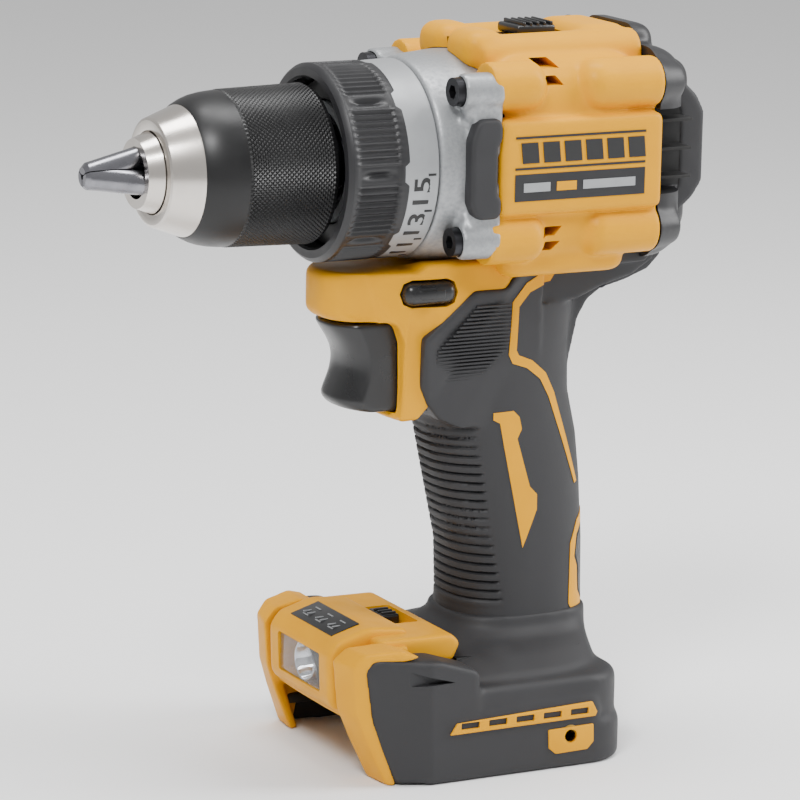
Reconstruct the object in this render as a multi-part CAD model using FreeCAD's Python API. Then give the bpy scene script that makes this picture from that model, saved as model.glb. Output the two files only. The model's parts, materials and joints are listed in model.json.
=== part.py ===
import FreeCAD, Part
import math
import os

# Cordless drill/driver without its battery, in millimetres.
# +X runs forward to the bit, +Y is the tool's left side, +Z is up.
# The origin lies on the spindle axis at the tips of the closed chuck jaws.

V = FreeCAD.Vector
os.makedirs("parts", exist_ok=True)

# ---- clearances -------------------------------------------------------------
FIT = 0.05          # pins, shafts and bores that run or sit in each other
GAP = 0.3           # curved faces of separate pieces
FLANK = 0.07        # backlash on each tooth flank

# ---- chuck ------------------------------------------------------------------
JAW_ANGLE = 14.0    # slope of a jaw to the spindle axis, degrees
JAW_R = 3.3
JAW_LENGTH = 37.4
GRIP_R = 0.75       # half of the shank that the closed jaws hold
JAW_TIP_R = 2.5
NOSE_X = -14.8      # front of the chuck body
NOSE_R = 9.2
NOSE_COLLAR_R = 10.7
CONE_X = -19.1      # front of the steel cone
CONE_R0 = 14.3
SLEEVE_X = -27.5    # front of the black sleeve
CONE_R1 = 17.5
SLEEVE_R = 20.6
SLEEVE_REAR_R = 21.3
CHUCK_REAR_X = -63.8
NUT_X = -34.6
NUT_LENGTH = 8.8
NUT_R = 17.3
THRUST_BALL_R = 1.2
THRUST_BALLS = 20
SHANK_BORE_R = 6.7
THREAD_R = 6.1      # spindle thread
THREAD_LENGTH = 16.5
SCREW_R = 2.5       # chuck screw shank

# ---- spindle and clutch -----------------------------------------------------
SPINDLE_R = 7.5
SPINDLE_HEX = 5.0   # half of the hexagon across flats that turns the spindle
BEARING_X = -70.0
BEARING_WIDTH = 8.0
BEARING_R = 14.0
SNOUT_R = 16.5
COLLAR_X = -64.3
COLLAR_R = 26.8
COLLAR_BORE_R = 22.3
COLLAR_LENGTH = 17.4
COLLAR_TABS = 6
NUMBER_X = -79.6
NUMBER_R = 26.3
NUMBER_BORE_R = 23.2
CASE_X = -90.5      # seam between the number ring and the gear case
CLUTCH_NUT_X = -70.0
CLUTCH_NUT_LENGTH = 4.0
CLUTCH_PIN_R = 2.0
CLUTCH_PINS = 6
CLUTCH_PIN_CIRCLE_R = 19.8
SPRING_WIRE_R = 1.1
SPRING_TURNS = 3.5

# ---- gear train -------------------------------------------------------------
MODULE = 0.8
PLANETS = 3
STAGE_TEETH = {1: (18, 15, 48), 2: (15, 15, 45), 3: (18, 15, 48)}   # sun, planet, ring
PLATE = 2.4         # thickness of a carrier plate
PIN_R = 1.6
RING_R = 25.8       # outside of the ring gears
CASE_BORE_R = 26.0
CASE_R = 28.6
CASE_FRONT_R = 27.2
WALL_X = -86.0      # front wall of the gear case, behind the clutch washer
WALL = 5.8
STAGE_WIDTH = {3: 6.0, 2: 5.0, 1: 4.4}
STAGE_GAP = 0.4     # between plates and gears
SHIFT = 3.0         # travel of the middle ring gear and the speed selector
EAR_Y = 26.0        # gear case screws
EAR_Z = (21.0, -19.0)
EAR_R = 5.2
CASE_SCREW_R = 2.2

# ---- motor ------------------------------------------------------------------
COVER = 2.4         # plate that closes the gear case
FAN_R = 23.5
FAN_LENGTH = 4.8
STATOR_R = 25.0
STATOR_LENGTH = 18.0
STATOR_SLOTS = 9
ROTOR_R = 12.3
SHAFT_R = 2.5
MOTOR_BEARING_R = 6.5
MOTOR_BEARING_WIDTH = 3.6
WINDING_OVERHANG = 1.6

# ---- housing ----------------------------------------------------------------
BARREL_Y = 31.4     # half width of the motor housing
BARREL_TOP = 35.0
BARREL_BOTTOM = -31.0
BARREL_CORNER = 17.0
BARREL_FRONT_X = -104.0
CAP_X = -156.0      # seam of the rear cap
CAP_REAR_X = -173.5
WALL_THICK = 2.6
SKIN = 2.2          # rubber overmould
MOTOR_BAY_R = 27.6
HANDLE = (          # height, centre, half depth, half width of the grip
    (-30.0, -122.0, 28.0, 17.0),
    (-45.0, -119.5, 27.5, 16.8),
    (-56.0, -119.0, 25.5, 16.4),
    (-71.0, -122.4, 22.6, 16.2),
    (-91.0, -125.6, 21.0, 16.6),
    (-108.0, -127.6, 20.0, 17.0),
    (-132.0, -128.2, 20.4, 17.6),
)
BLOCK_FRONT_X = -64.0
BLOCK_TOP = -28.4
BLOCK_BOTTOM = -42.0
BLOCK_FRONT_Y = 13.0
BLOCK_REAR_Y = 18.0
FOOT_Y = 39.0
FOOT_FRONT_X = -66.0
FOOT_REAR_X = -147.5
FOOT_TOP = -128.0
FOOT_BOTTOM = -164.0
FOOT_CORNER = 9.0
BAY_Y = 31.0
BAY_TOP = -150.0
BAY_REAR_X = -140.0
RAIL = 3.2
RAIL_TOP = -155.0
RAIL_BOTTOM = -158.0

# ---- controls ---------------------------------------------------------------
TRIGGER_Y = 11.5
TRIGGER_TOP = -42.4
TRIGGER_BOTTOM = -67.0
TRIGGER_FRONT_X = -69.0
TRIGGER_REAR_X = -92.0
TRIGGER_TRAVEL = 6.5
LEVER_X = -93.0
LEVER_Z = -34.2
LEVER_LENGTH = 15.6
LEVER_HEIGHT = 6.4
LEVER_REACH = 19.6
SELECTOR_X = -130.0
SELECTOR_LENGTH = 12.0
SELECTOR_Y = 6.0
LINK_Z = 30.6
LINK_THICK = 1.2
SWITCH_X = -106.0
SWITCH_LENGTH = 24.0
SWITCH_Y = 8.6
THROAT_X = -91.0     # front of the housing behind the trigger
THROAT_Y = 14.8
THROAT_BOTTOM = -69.0

# ---- lamp and foot fittings -------------------------------------------------
LAMP_X = -63.6
LAMP_Y = 17.0
LAMP_TOP = -124.5
LAMP_BOTTOM = -146.0
LAMP_DEPTH = 22.0
WINDOW_Y = 12.8
WINDOW_TOP = -131.5
WINDOW_BOTTOM = -142.5
SLIDER_X = -92.0
SLIDER_Y = 9.0
SLIDER_TRAVEL = 8.0
HOOK_X = -127.5
HOOK_Z = -155.0
HOOK_THREAD_R = 1.65
INSERT_R = 3.0
INSERT_LENGTH = 7.0
HOUSING_SCREWS = (  # centre x, z of the screws that join the halves
    (-76.0, -35.4), (-150.5, 31.4), (-150.0, -36.5),
    (-139.0, -80.0), (-128.0, -112.0), (-96.5, -139.5), (-142.5, -140.0),
)
HOUSING_SCREW_R = 1.5


# ---- helpers ----------------------------------------------------------------

# ---- lengths that follow from the sizes above -------------------------------
# axial layout of the gear train, from the front wall back to the cover
RACE_X = WALL_X - WALL - 0.5
CARRIER_X = {}
GEAR_X = {}
CARRIER_X[3] = RACE_X - 0.3
GEAR_X[3] = CARRIER_X[3] - PLATE - STAGE_GAP
CARRIER_X[2] = GEAR_X[3] - STAGE_WIDTH[3] - STAGE_GAP
GEAR_X[2] = CARRIER_X[2] - PLATE - STAGE_GAP
CARRIER_X[1] = GEAR_X[2] - STAGE_WIDTH[2] - STAGE_GAP
GEAR_X[1] = CARRIER_X[1] - PLATE - STAGE_GAP - SHIFT + 2.2
CASE_REAR_X = GEAR_X[1] - STAGE_WIDTH[1] - STAGE_GAP
COVER_REAR_X = CASE_REAR_X - COVER
FAN_X = COVER_REAR_X - 1.4
STATOR_X = FAN_X - FAN_LENGTH - 1.4 - WINDING_OVERHANG
STATOR_REAR_X = STATOR_X - STATOR_LENGTH
BOARD_X = STATOR_REAR_X - WINDING_OVERHANG - 0.8
REAR_BEARING_X = CAP_X - 3.0
WASHER_X = WALL_X + 1.3
HOUSING_SEAT_X = BARREL_FRONT_X - 4.0
SCREW_HALF = 13.0
TERMINAL_X = -116.0
def revolve(points):
    """Solid of revolution about the X axis from (x, radius) points."""
    ring = [V(x, 0, r) for x, r in points]
    ring.append(ring[0])
    face = Part.Face(Part.makePolygon(ring))
    return face.revolve(V(0, 0, 0), V(1, 0, 0), 360)


def tube(x0, x1, outer, inner=0.0):
    """Tube along X between two stations."""
    low, high = min(x0, x1), max(x0, x1)
    body = Part.makeCylinder(outer, high - low, V(low, 0, 0), V(1, 0, 0))
    if inner > 0:
        body = body.cut(Part.makeCylinder(inner, high - low + 2, V(low - 1, 0, 0), V(1, 0, 0)))
    return body


def rod(x0, x1, radius, y, z):
    """Cylinder along X, off the axis."""
    return Part.makeCylinder(radius, abs(x1 - x0), V(min(x0, x1), y, z), V(1, 0, 0))


def cross_rod(x, z, radius, y0, y1):
    """Cylinder along Y."""
    return Part.makeCylinder(radius, abs(y1 - y0), V(x, min(y0, y1), z), V(0, 1, 0))


def block(x0, x1, y0, y1, z0, z1):
    """Box between two corners."""
    low = V(min(x0, x1), min(y0, y1), min(z0, z1))
    return Part.makeBox(abs(x1 - x0), abs(y1 - y0), abs(z1 - z0), low)


def prism_y(points, y0, y1):
    """Outline in X and Z, extruded along Y."""
    wire = Part.makePolygon([V(x, y0, z) for x, z in points] + [V(points[0][0], y0, points[0][1])])
    return Part.Face(wire).extrude(V(0, y1 - y0, 0))


def prism_x(points, x0, x1):
    """Outline in Y and Z, extruded along X."""
    wire = Part.makePolygon([V(x0, y, z) for y, z in points] + [V(x0, points[0][0], points[0][1])])
    return Part.Face(wire).extrude(V(x1 - x0, 0, 0))


def prism_z(points, z0, z1):
    """Outline in X and Y, extruded along Z."""
    wire = Part.makePolygon([V(x, y, z0) for x, y in points] + [V(points[0][0], points[0][1], z0)])
    return Part.Face(wire).extrude(V(0, 0, z1 - z0))


def rounded_box(x0, x1, y0, y1, z0, z1, radius, along):
    """Box whose four edges along one axis are rounded."""
    body = block(x0, x1, y0, y1, z0, z1)
    edges = []
    for edge in body.Edges:
        if abs(abs(edge.tangentAt(edge.FirstParameter).dot(along)) - 1) < 1e-6:
            edges.append(edge)
    return body.makeFillet(radius, edges)


def turned(shape, angle):
    """Copy turned about the spindle axis."""
    return shape.rotated(V(0, 0, 0), V(1, 0, 0), angle)


def ring_of(shape, count, start=0.0):
    """Copies spread evenly round the spindle axis, as separate solids."""
    return [turned(shape, start + 360.0 * i / count) for i in range(count)]


def fuse(shapes):
    body = shapes[0].multiFuse(shapes[1:]) if len(shapes) > 1 else shapes[0]
    return body.removeSplitter()


def both_sides(shape):
    """The piece and its mirror image across the middle plane."""
    return [shape, shape.mirror(V(0, 0, 0), V(0, 1, 0))]


def half(shape, side):
    """The part of a shape on one side of the middle plane, side = 1 for +Y."""
    far = 80.0
    return shape.common(block(-200, 10, 0, side * far, -200, 80))


def save(name, shapes):
    if not isinstance(shapes, (list, tuple)):
        shapes = [shapes]
    solids = []
    for shape in shapes:
        solids.extend(shape.Solids)
    for solid in solids:
        if not solid.isValid() or solid.Volume <= 0:
            raise ValueError("bad solid in " + name)
    body = solids[0] if len(solids) == 1 else Part.makeCompound(solids)
    body.exportStep("parts/" + name + ".step")
    print(name, len(solids), round(sum(s.Volume for s in solids), 1))


# ---- gears ------------------------------------------------------------------
def involute(radius, base):
    """Polar angle of the involute at a radius, or 0 below the base circle."""
    if radius <= base:
        return 0.0
    t = math.sqrt((radius / base) ** 2 - 1)
    return t - math.atan(t)


def tooth_outline(teeth, low_r, high_r, thin):
    """Points of a whole gear rim; thin > 0 narrows each tooth on both flanks."""
    pitch_r = MODULE * teeth / 2
    base = pitch_r * math.cos(math.radians(20))
    half_angle = math.pi / (2 * teeth) + involute(pitch_r, base) - thin / pitch_r
    steps = 4
    radii = [low_r + (high_r - low_r) * i / steps for i in range(steps + 1)]
    flank = [(r, half_angle - involute(r, base)) for r in radii]
    points = []
    for i in range(teeth):
        middle = 2 * math.pi * i / teeth
        for r, a in flank:
            points.append((r * math.cos(middle - a), r * math.sin(middle - a)))
        for r, a in reversed(flank):
            points.append((r * math.cos(middle + a), r * math.sin(middle + a)))
    return points


def outer_gear(teeth, x0, x1, bore):
    """External gear with a tooth pointing to +Y."""
    pitch_r = MODULE * teeth / 2
    outline = tooth_outline(teeth, pitch_r - 0.95 * MODULE, pitch_r + 0.7 * MODULE, FLANK)
    body = prism_x(outline, x0, x1)
    if bore > 0:
        body = body.cut(tube(x0 - 1, x1 + 1, bore) if x0 < x1 else tube(x1 - 1, x0 + 1, bore))
    return body


def ring_cutter(teeth, x0, x1):
    """Space inside a ring gear, with a gap pointing to +Y."""
    pitch_r = MODULE * teeth / 2
    outline = tooth_outline(teeth, pitch_r - 0.7 * MODULE, pitch_r + 0.95 * MODULE, -FLANK)
    return prism_x(outline, x0, x1)


def orbit_radius(stage):
    sun, planet, _ = STAGE_TEETH[stage]
    return MODULE * (sun + planet) / 2


def planets(stage):
    _, teeth, _ = STAGE_TEETH[stage]
    front = GEAR_X[stage]
    gear = outer_gear(teeth, front, front - STAGE_WIDTH[stage], PIN_R + FIT)
    gear.translate(V(0, orbit_radius(stage), 0))
    return ring_of(gear, PLANETS)


def carrier(stage):
    """Plate with planet pins behind it and, but for the last stage, a sun in front."""
    front = CARRIER_X[stage]
    rear = front - PLATE
    plate_r = orbit_radius(stage) + PIN_R + 2.2
    pieces = [tube(front, rear, plate_r)]
    pin = rod(rear + 0.5, GEAR_X[stage] - STAGE_WIDTH[stage] - 0.1, PIN_R, orbit_radius(stage), 0)
    pieces.extend(ring_of(pin, PLANETS))
    if stage < 3:
        sun, _, _ = STAGE_TEETH[stage + 1]
        pieces.append(outer_gear(sun, front - 0.5, GEAR_X[stage + 1] - 0.2, 0))
    body = fuse(pieces)
    if stage == 3:
        body = body.cut(hexagon(SPINDLE_HEX + FIT, front + 1, rear - 1))
    if stage == 1:
        body = body.cut(tube(front - PLATE + 1.0, rear - 1, PIN_R))
    return body


def hexagon(flat, x0, x1):
    corner = flat / math.cos(math.radians(30))
    points = []
    for i in range(6):
        a = math.radians(60 * i)
        points.append((corner * math.cos(a), corner * math.sin(a)))
    return prism_x(points, x0, x1)


def ring_gear(stage):
    _, _, teeth = STAGE_TEETH[stage]
    front = GEAR_X[stage] + 0.1
    rear = GEAR_X[stage] - STAGE_WIDTH[stage] - 0.1
    body = tube(front, rear, RING_R)
    body = body.cut(ring_cutter(teeth, rear - 1, front + 1))
    if stage == 3:
        plate_r = orbit_radius(3) + PIN_R + 2.2
        body = fuse([body, tube(RACE_X, front - 0.01, RING_R, plate_r + 0.5)])
    if stage == 2:
        groove = tube(rear + 1.4, front - 1.4, RING_R + 1, RING_R - 1.4)
        body = body.cut(groove)
    return body


# ---- chuck pieces -----------------------------------------------------------
def jaw_direction():
    """Unit vector along a jaw, from its tip to its rear."""
    a = math.radians(JAW_ANGLE)
    return V(-math.cos(a), 0, math.sin(a))


def jaw_cylinder(radius, ahead, length):
    direction = jaw_direction()
    start = V(0, 0, 0) - direction * ahead
    return Part.makeCylinder(radius, length + ahead, start, direction)


def jaw():
    """One jaw with its tip wedge, its gripping groove and a chamfered nose."""
    body = jaw_cylinder(JAW_R, 12.0, JAW_LENGTH)
    far = 30.0
    wedge = [(0.0, 0.17), (far * math.sin(math.radians(60)), 0.17 + far * 0.5)]
    wedge += [(far, far * 1.5), (-far, far * 1.5)]
    wedge += [(-far * math.sin(math.radians(60)), 0.17 + far * 0.5)]
    body = body.common(prism_x(wedge, -60, 0))
    nose = revolve([(0, 0), (0, JAW_TIP_R), (-1.3, JAW_R + 0.5), (-3.0, 30), (-60, 30), (-60, 0)])
    body = body.common(nose)
    return body.cut(tube(-60, 1, GRIP_R))


def nut_bore_r(x):
    a = math.radians(JAW_ANGLE)
    return -x * math.tan(a) + JAW_R / math.cos(a) + 0.15


NUT_REAR_X = NUT_X - NUT_LENGTH
FLANGE_X = NUT_REAR_X - 2 * THRUST_BALL_R - 0.1
BALL_CIRCLE_R = (nut_bore_r(NUT_REAR_X) + NUT_R) / 2 + 0.15


def chuck_body():
    """Steel body with the shank bore, jaw bores and spindle thread."""
    rear = CHUCK_REAR_X + 0.3
    disc_x = rear + 2.7
    core_r = CONE_R0 - 0.6
    web_x = rear + THREAD_LENGTH
    points = [(NOSE_X, 0), (NOSE_X, NOSE_R), (NOSE_X - 4.0, NOSE_COLLAR_R), (CONE_X - 2.2, NOSE_COLLAR_R)]
    points += [(CONE_X - 2.2, core_r), (NUT_X + 0.6, core_r), (NUT_X + 0.6, 11.0), (FLANGE_X, 11.0)]
    points += [(FLANGE_X, NUT_R - 0.1), (disc_x, NUT_R - 0.1), (disc_x, NUT_R + 1.1)]
    points += [(rear, NUT_R + 1.1), (rear, 0)]
    body = revolve(points)
    body = body.cut(tube(NOSE_X + 1, web_x + 7.0, SHANK_BORE_R))
    body = body.cut(tube(rear - 1, web_x, THREAD_R))
    body = body.cut(tube(web_x - 1, web_x + 8.0, SCREW_R + 0.3))
    reach = (-disc_x - 0.3) / math.cos(math.radians(JAW_ANGLE))
    bore = jaw_cylinder(JAW_R + FIT, 12.0, reach - JAW_R * math.tan(math.radians(JAW_ANGLE)))
    for cutter in ring_of(bore, 3):
        body = body.cut(cutter)
    return body


def chuck_nose_ring():
    points = [(CONE_X, NOSE_COLLAR_R + GAP), (CONE_X, CONE_R0), (SLEEVE_X, CONE_R1)]
    points += [(SLEEVE_X, CONE_R1 - 0.8), (NUT_X + 1.2, CONE_R1 - 0.8), (NUT_X + 1.2, CONE_R0 - GAP)]
    points += [(CONE_X - 1.9, CONE_R0 - GAP), (CONE_X - 1.9, NOSE_COLLAR_R + GAP)]
    return revolve(points)


def chuck_nut():
    """Ring with the cone thread that drives the jaws, split across its middle."""
    points = [(NUT_X, nut_bore_r(NUT_X)), (NUT_X, NUT_R), (NUT_REAR_X, NUT_R)]
    points += [(NUT_REAR_X, nut_bore_r(NUT_REAR_X))]
    body = revolve(points)
    slit = block(NUT_REAR_X - 1, NUT_X + 1, -30, 30, -0.1, 0.1)
    return body.cut(slit)


def chuck_sleeve():
    rear = CHUCK_REAR_X
    seat = NUT_REAR_X - 0.4
    points = [(SLEEVE_X, CONE_R1 - 0.8), (SLEEVE_X, CONE_R1 + 0.3), (-30.0, 19.0), (-33.5, 20.1)]
    points += [(-37.0, SLEEVE_R), (-39.0, SLEEVE_R)]
    points += [(rear + 0.6, SLEEVE_REAR_R), (rear, SLEEVE_REAR_R - 0.6)]
    points += [(rear, NUT_R + 1.1 + GAP), (seat, NUT_R + 1.1 + GAP), (seat, NUT_R)]
    points += [(NUT_X + 0.7, NUT_R), (NUT_X + 0.7, CONE_R1 - 0.8)]
    return revolve(points)


def thrust_balls():
    ball = Part.makeSphere(THRUST_BALL_R, V(NUT_REAR_X - THRUST_BALL_R - 0.05, 0, BALL_CIRCLE_R))
    return ring_of(ball, THRUST_BALLS, 9.0)


def chuck_screw():
    web_x = CHUCK_REAR_X + 0.3 + THREAD_LENGTH
    shank = tube(web_x + 7.0, web_x - 11.0, SCREW_R)
    head = tube(web_x + 10.5, web_x + 7.0, SCREW_R + 1.7)
    head = head.cut(hexagon(1.6, web_x + 8.2, web_x + 11))
    return fuse([shank, head])


# ---- spindle and clutch pieces ----------------------------------------------
def spindle():
    rear = CHUCK_REAR_X + 0.3
    web_x = rear + THREAD_LENGTH
    hex_x = CARRIER_X[3] + 0.2
    body = fuse([
        tube(web_x - 0.2, rear - 0.5, THREAD_R - FIT),
        tube(rear - 0.4, BEARING_X + 0.1, SPINDLE_R + 2.5),
        tube(rear - 3.0, hex_x, SPINDLE_R),
        hexagon(SPINDLE_HEX, hex_x + 0.5, CARRIER_X[3] - PLATE),
    ])
    return body.cut(tube(web_x, web_x - 12.0, SCREW_R))


def ball_bearing(x0, x1, outer, inner, balls):
    """Inner ring, outer ring and balls as separate solids."""
    middle = (outer + inner) / 2
    ball_r = (outer - inner) * 0.27
    width = abs(x1 - x0)
    groove = Part.makeTorus(middle, ball_r + 0.03, V((x0 + x1) / 2, 0, 0), V(1, 0, 0))
    low = tube(x0, x1, middle - ball_r * 0.45, inner).cut(groove)
    high = tube(x0, x1, outer, middle + ball_r * 0.45).cut(groove)
    ball = Part.makeSphere(min(ball_r, width / 2 - 0.2), V((x0 + x1) / 2, 0, middle))
    return [low, high] + ring_of(ball, balls)


def spindle_bearing():
    return ball_bearing(BEARING_X, BEARING_X - BEARING_WIDTH, BEARING_R, SPINDLE_R + FIT, 9)


def spindle_bushing():
    return tube(WALL_X - 0.4, WALL_X - WALL + 0.2, SPINDLE_R + 2.1, SPINDLE_R + FIT)


def torque_collar():
    """Ribbed collar, with tabs that lie over the number ring."""
    rear = NUMBER_X + 0.2
    points = [(COLLAR_X, COLLAR_BORE_R + 0.4), (COLLAR_X, COLLAR_R - 1.2), (COLLAR_X - 1.2, COLLAR_R)]
    points += [(rear, COLLAR_R), (rear, COLLAR_BORE_R), (COLLAR_X - 1.0, COLLAR_BORE_R)]
    body = revolve(points)
    dimple = Part.makeSphere(9.0, V(COLLAR_X - 5.0, 0, COLLAR_R + 7.8))
    for cutter in ring_of(dimple, COLLAR_TABS, 180.0 / COLLAR_TABS):
        body = body.cut(cutter)
    lobe = tube(rear + 1.0, COLLAR_X - COLLAR_LENGTH, COLLAR_R, NUMBER_R + 0.05)
    sector = prism_x([(0, 0), (-9, 40), (9, 40)], -100, -60)
    tabs = [lobe.common(turned(sector, 360.0 * i / COLLAR_TABS)) for i in range(COLLAR_TABS)]
    return fuse([body] + tabs)


def number_ring():
    return tube(NUMBER_X, CASE_X + 0.2, NUMBER_R, NUMBER_BORE_R)


def clutch_nut():
    rear = CLUTCH_NUT_X - CLUTCH_NUT_LENGTH
    body = tube(CLUTCH_NUT_X, rear, COLLAR_BORE_R - GAP, SNOUT_R + GAP)
    keys = [block(rear, CLUTCH_NUT_X, -1.4, 1.4, SNOUT_R - 1.0, SNOUT_R + 1.5)]
    keys = ring_of(keys[0], 3, 60.0)
    return fuse([body] + keys)


def clutch_spring():
    """Flat-ground coil spring between the clutch nut and the washer."""
    front = CLUTCH_NUT_X - CLUTCH_NUT_LENGTH - 0.2
    length = front - WASHER_X - 0.2 - 2 * SPRING_WIRE_R
    radius = (COLLAR_BORE_R + SNOUT_R) / 2
    helix = Part.makeHelix(length / SPRING_TURNS, length, radius)
    profile = Part.makeCircle(SPRING_WIRE_R, V(radius, 0, 0), V(0, 1, 0))
    coil = Part.Wire(helix.Edges).makePipeShell([Part.Wire(profile)], True, True)
    coil.rotate(V(0, 0, 0), V(0, 1, 0), 90)
    coil.translate(V(front - SPRING_WIRE_R - length, 0, 0))
    return coil


def clutch_washer():
    return tube(WASHER_X, WALL_X + 0.1, COLLAR_BORE_R - GAP, SNOUT_R + GAP)


def clutch_pins():
    length = WALL_X - RACE_X
    pin = rod(WALL_X, RACE_X + CLUTCH_PIN_R + 0.1, CLUTCH_PIN_R, 0, CLUTCH_PIN_CIRCLE_R)
    tip = Part.makeSphere(CLUTCH_PIN_R, V(RACE_X + CLUTCH_PIN_R + 0.1, 0, CLUTCH_PIN_CIRCLE_R))
    assert length > 2 * CLUTCH_PIN_R
    return ring_of(fuse([pin, tip]), CLUTCH_PINS)


def gear_case():
    """Cast case: snout, front wall with pin holes, ring bore and screw ears."""
    snout_x = BEARING_X + 1.2
    points = [(snout_x, 0), (snout_x, SNOUT_R), (WALL_X, SNOUT_R), (WALL_X, NUMBER_BORE_R - GAP)]
    points += [(CASE_X, NUMBER_BORE_R - GAP), (CASE_X, CASE_FRONT_R), (CASE_X - 9.0, CASE_R)]
    points += [(CASE_REAR_X, CASE_R), (CASE_REAR_X, 0)]
    body = revolve(points)
    for y in (EAR_Y, -EAR_Y):
        for z in EAR_Z:
            ear = rod(CASE_X - 7.0, HOUSING_SEAT_X, EAR_R, y, z)
            brace = block(CASE_X - 7.0, HOUSING_SEAT_X, 0, y, z - 3.0, z + 3.0)
            body = fuse([body, ear, brace])
    body = body.cut(tube(WALL_X - WALL, CASE_REAR_X - 1, CASE_BORE_R))
    body = body.cut(tube(WALL_X - WALL - 1, snout_x + 1, SPINDLE_R + 2.1))
    body = body.cut(tube(snout_x + 1, BEARING_X - BEARING_WIDTH, BEARING_R))
    for hole in ring_of(rod(WALL_X + 1, WALL_X - WALL - 1, CLUTCH_PIN_R + FIT, 0, CLUTCH_PIN_CIRCLE_R),
                        CLUTCH_PINS):
        body = body.cut(hole)
    key = block(snout_x + 1, WALL_X + 3, -1.4 - FIT, 1.4 + FIT, SNOUT_R - 1.2, SNOUT_R + 1)
    for groove in ring_of(key, 3, 60.0):
        body = body.cut(groove)
    slot = block(GEAR_X[2] + 0.4, GEAR_X[2] - STAGE_WIDTH[2] - SHIFT - 0.4, -5.4, 5.4, 20, 40)
    body = body.cut(slot)
    for y in (EAR_Y, -EAR_Y):
        for z in EAR_Z:
            body = body.cut(rod(CASE_X - 3.0, HOUSING_SEAT_X - 1, CASE_SCREW_R + FIT, y, z))
    return body


def gear_case_screws():
    pieces = []
    for y in (EAR_Y, -EAR_Y):
        for z in EAR_Z:
            head = rod(CASE_X - 3.4, CASE_X - 6.9, 3.8, y, z)
            shank = rod(CASE_X - 6.9, HOUSING_SEAT_X - 9.0, CASE_SCREW_R, y, z)
            socket = hexagon(1.7, CASE_X - 5.4, CASE_X)
            socket.translate(V(0, y, z))
            pieces.append(fuse([head, shank]).cut(socket))
    return pieces


# ---- motor pieces -----------------------------------------------------------
def cover_plate():
    body = tube(CASE_REAR_X, COVER_REAR_X, CASE_R - 0.6, MOTOR_BEARING_R + FIT)
    for i in range(6):
        a = math.radians(60 * i + 30)
        body = body.cut(rod(CASE_REAR_X + 1, COVER_REAR_X - 1, 2.4, 18 * math.cos(a), 18 * math.sin(a)))
    return body


def motor_front_bearing():
    rear = CASE_REAR_X - MOTOR_BEARING_WIDTH
    return ball_bearing(CASE_REAR_X, rear, MOTOR_BEARING_R, SHAFT_R + FIT, 7)


def motor_rear_bearing():
    rear = REAR_BEARING_X - MOTOR_BEARING_WIDTH
    return ball_bearing(REAR_BEARING_X, rear, MOTOR_BEARING_R, SHAFT_R + FIT, 7)


def motor_pinion():
    sun, _, _ = STAGE_TEETH[1]
    return outer_gear(sun, GEAR_X[1] - 0.1, CASE_REAR_X + 0.1, SHAFT_R)


def motor_rotor():
    """Shaft and laminated core with four magnet slots."""
    shaft = tube(GEAR_X[1] - 0.1, REAR_BEARING_X - MOTOR_BEARING_WIDTH, SHAFT_R)
    core = tube(STATOR_X, STATOR_REAR_X, ROTOR_R, SHAFT_R - 0.1)
    for i in range(4):
        slot = block(STATOR_X + 1, STATOR_REAR_X - 1, -6.5, 6.5, 9.0, 10.6)
        core = core.cut(turned(slot, 90 * i))
    return fuse([shaft, core])


def motor_magnets():
    magnet = block(STATOR_X, STATOR_REAR_X, -6.4, 6.4, 9.05, 10.55)
    return ring_of(magnet, 4)


def stator_core():
    """Lamination stack: back iron and slotted teeth."""
    back = tube(STATOR_X, STATOR_REAR_X, STATOR_R, STATOR_R - 3.6)
    tip_r = ROTOR_R + 0.6
    shoe = tube(STATOR_X, STATOR_REAR_X, tip_r + 1.6, tip_r)
    half_slot = 180.0 / STATOR_SLOTS
    pieces = [back]
    for i in range(STATOR_SLOTS):
        angle = 360.0 * i / STATOR_SLOTS
        stem = block(STATOR_X, STATOR_REAR_X, -2.2, 2.2, tip_r + 0.5, STATOR_R - 2.0)
        spread = math.tan(math.radians(half_slot - 4.0))
        sector = prism_x([(0, 0), (-30 * spread, 30), (30 * spread, 30)], STATOR_X, STATOR_REAR_X)
        pieces.append(turned(stem, angle))
        pieces.append(turned(shoe.common(sector), angle))
    return fuse(pieces)


def stator_windings():
    """One coil round each stator tooth."""
    inner_z = ROTOR_R + 0.6 + 1.8
    outer_z = STATOR_R - 4.4
    coil = block(STATOR_X + WINDING_OVERHANG, STATOR_REAR_X - WINDING_OVERHANG, -4.2, 4.2, inner_z, outer_z)
    coil = coil.cut(block(STATOR_X, STATOR_REAR_X, -2.25, 2.25, inner_z - 1, outer_z + 1))
    spread = math.tan(math.radians(180.0 / STATOR_SLOTS - 0.8))
    sector = prism_x([(0, 0), (-40 * spread, 40), (40 * spread, 40)], STATOR_X + 5, STATOR_REAR_X - 5)
    return ring_of(coil.common(sector), STATOR_SLOTS)


def motor_board():
    return tube(BOARD_X, BOARD_X - 1.4, STATOR_R - 1.5, SHAFT_R + 4.0)


def cooling_fan():
    hub = tube(FAN_X, FAN_X - FAN_LENGTH, 6.0, SHAFT_R)
    disc = tube(FAN_X - FAN_LENGTH + 1.2, FAN_X - FAN_LENGTH, FAN_R, SHAFT_R)
    blade = block(FAN_X, FAN_X - FAN_LENGTH + 0.6, -0.7, 0.7, 10.0, FAN_R - 0.4)
    blade = blade.rotated(V(0, 0, 10.0), V(1, 0, 0), 25)
    blade = blade.common(tube(FAN_X, FAN_X - FAN_LENGTH, FAN_R))
    return fuse([hub, disc] + ring_of(blade, 11))


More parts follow.
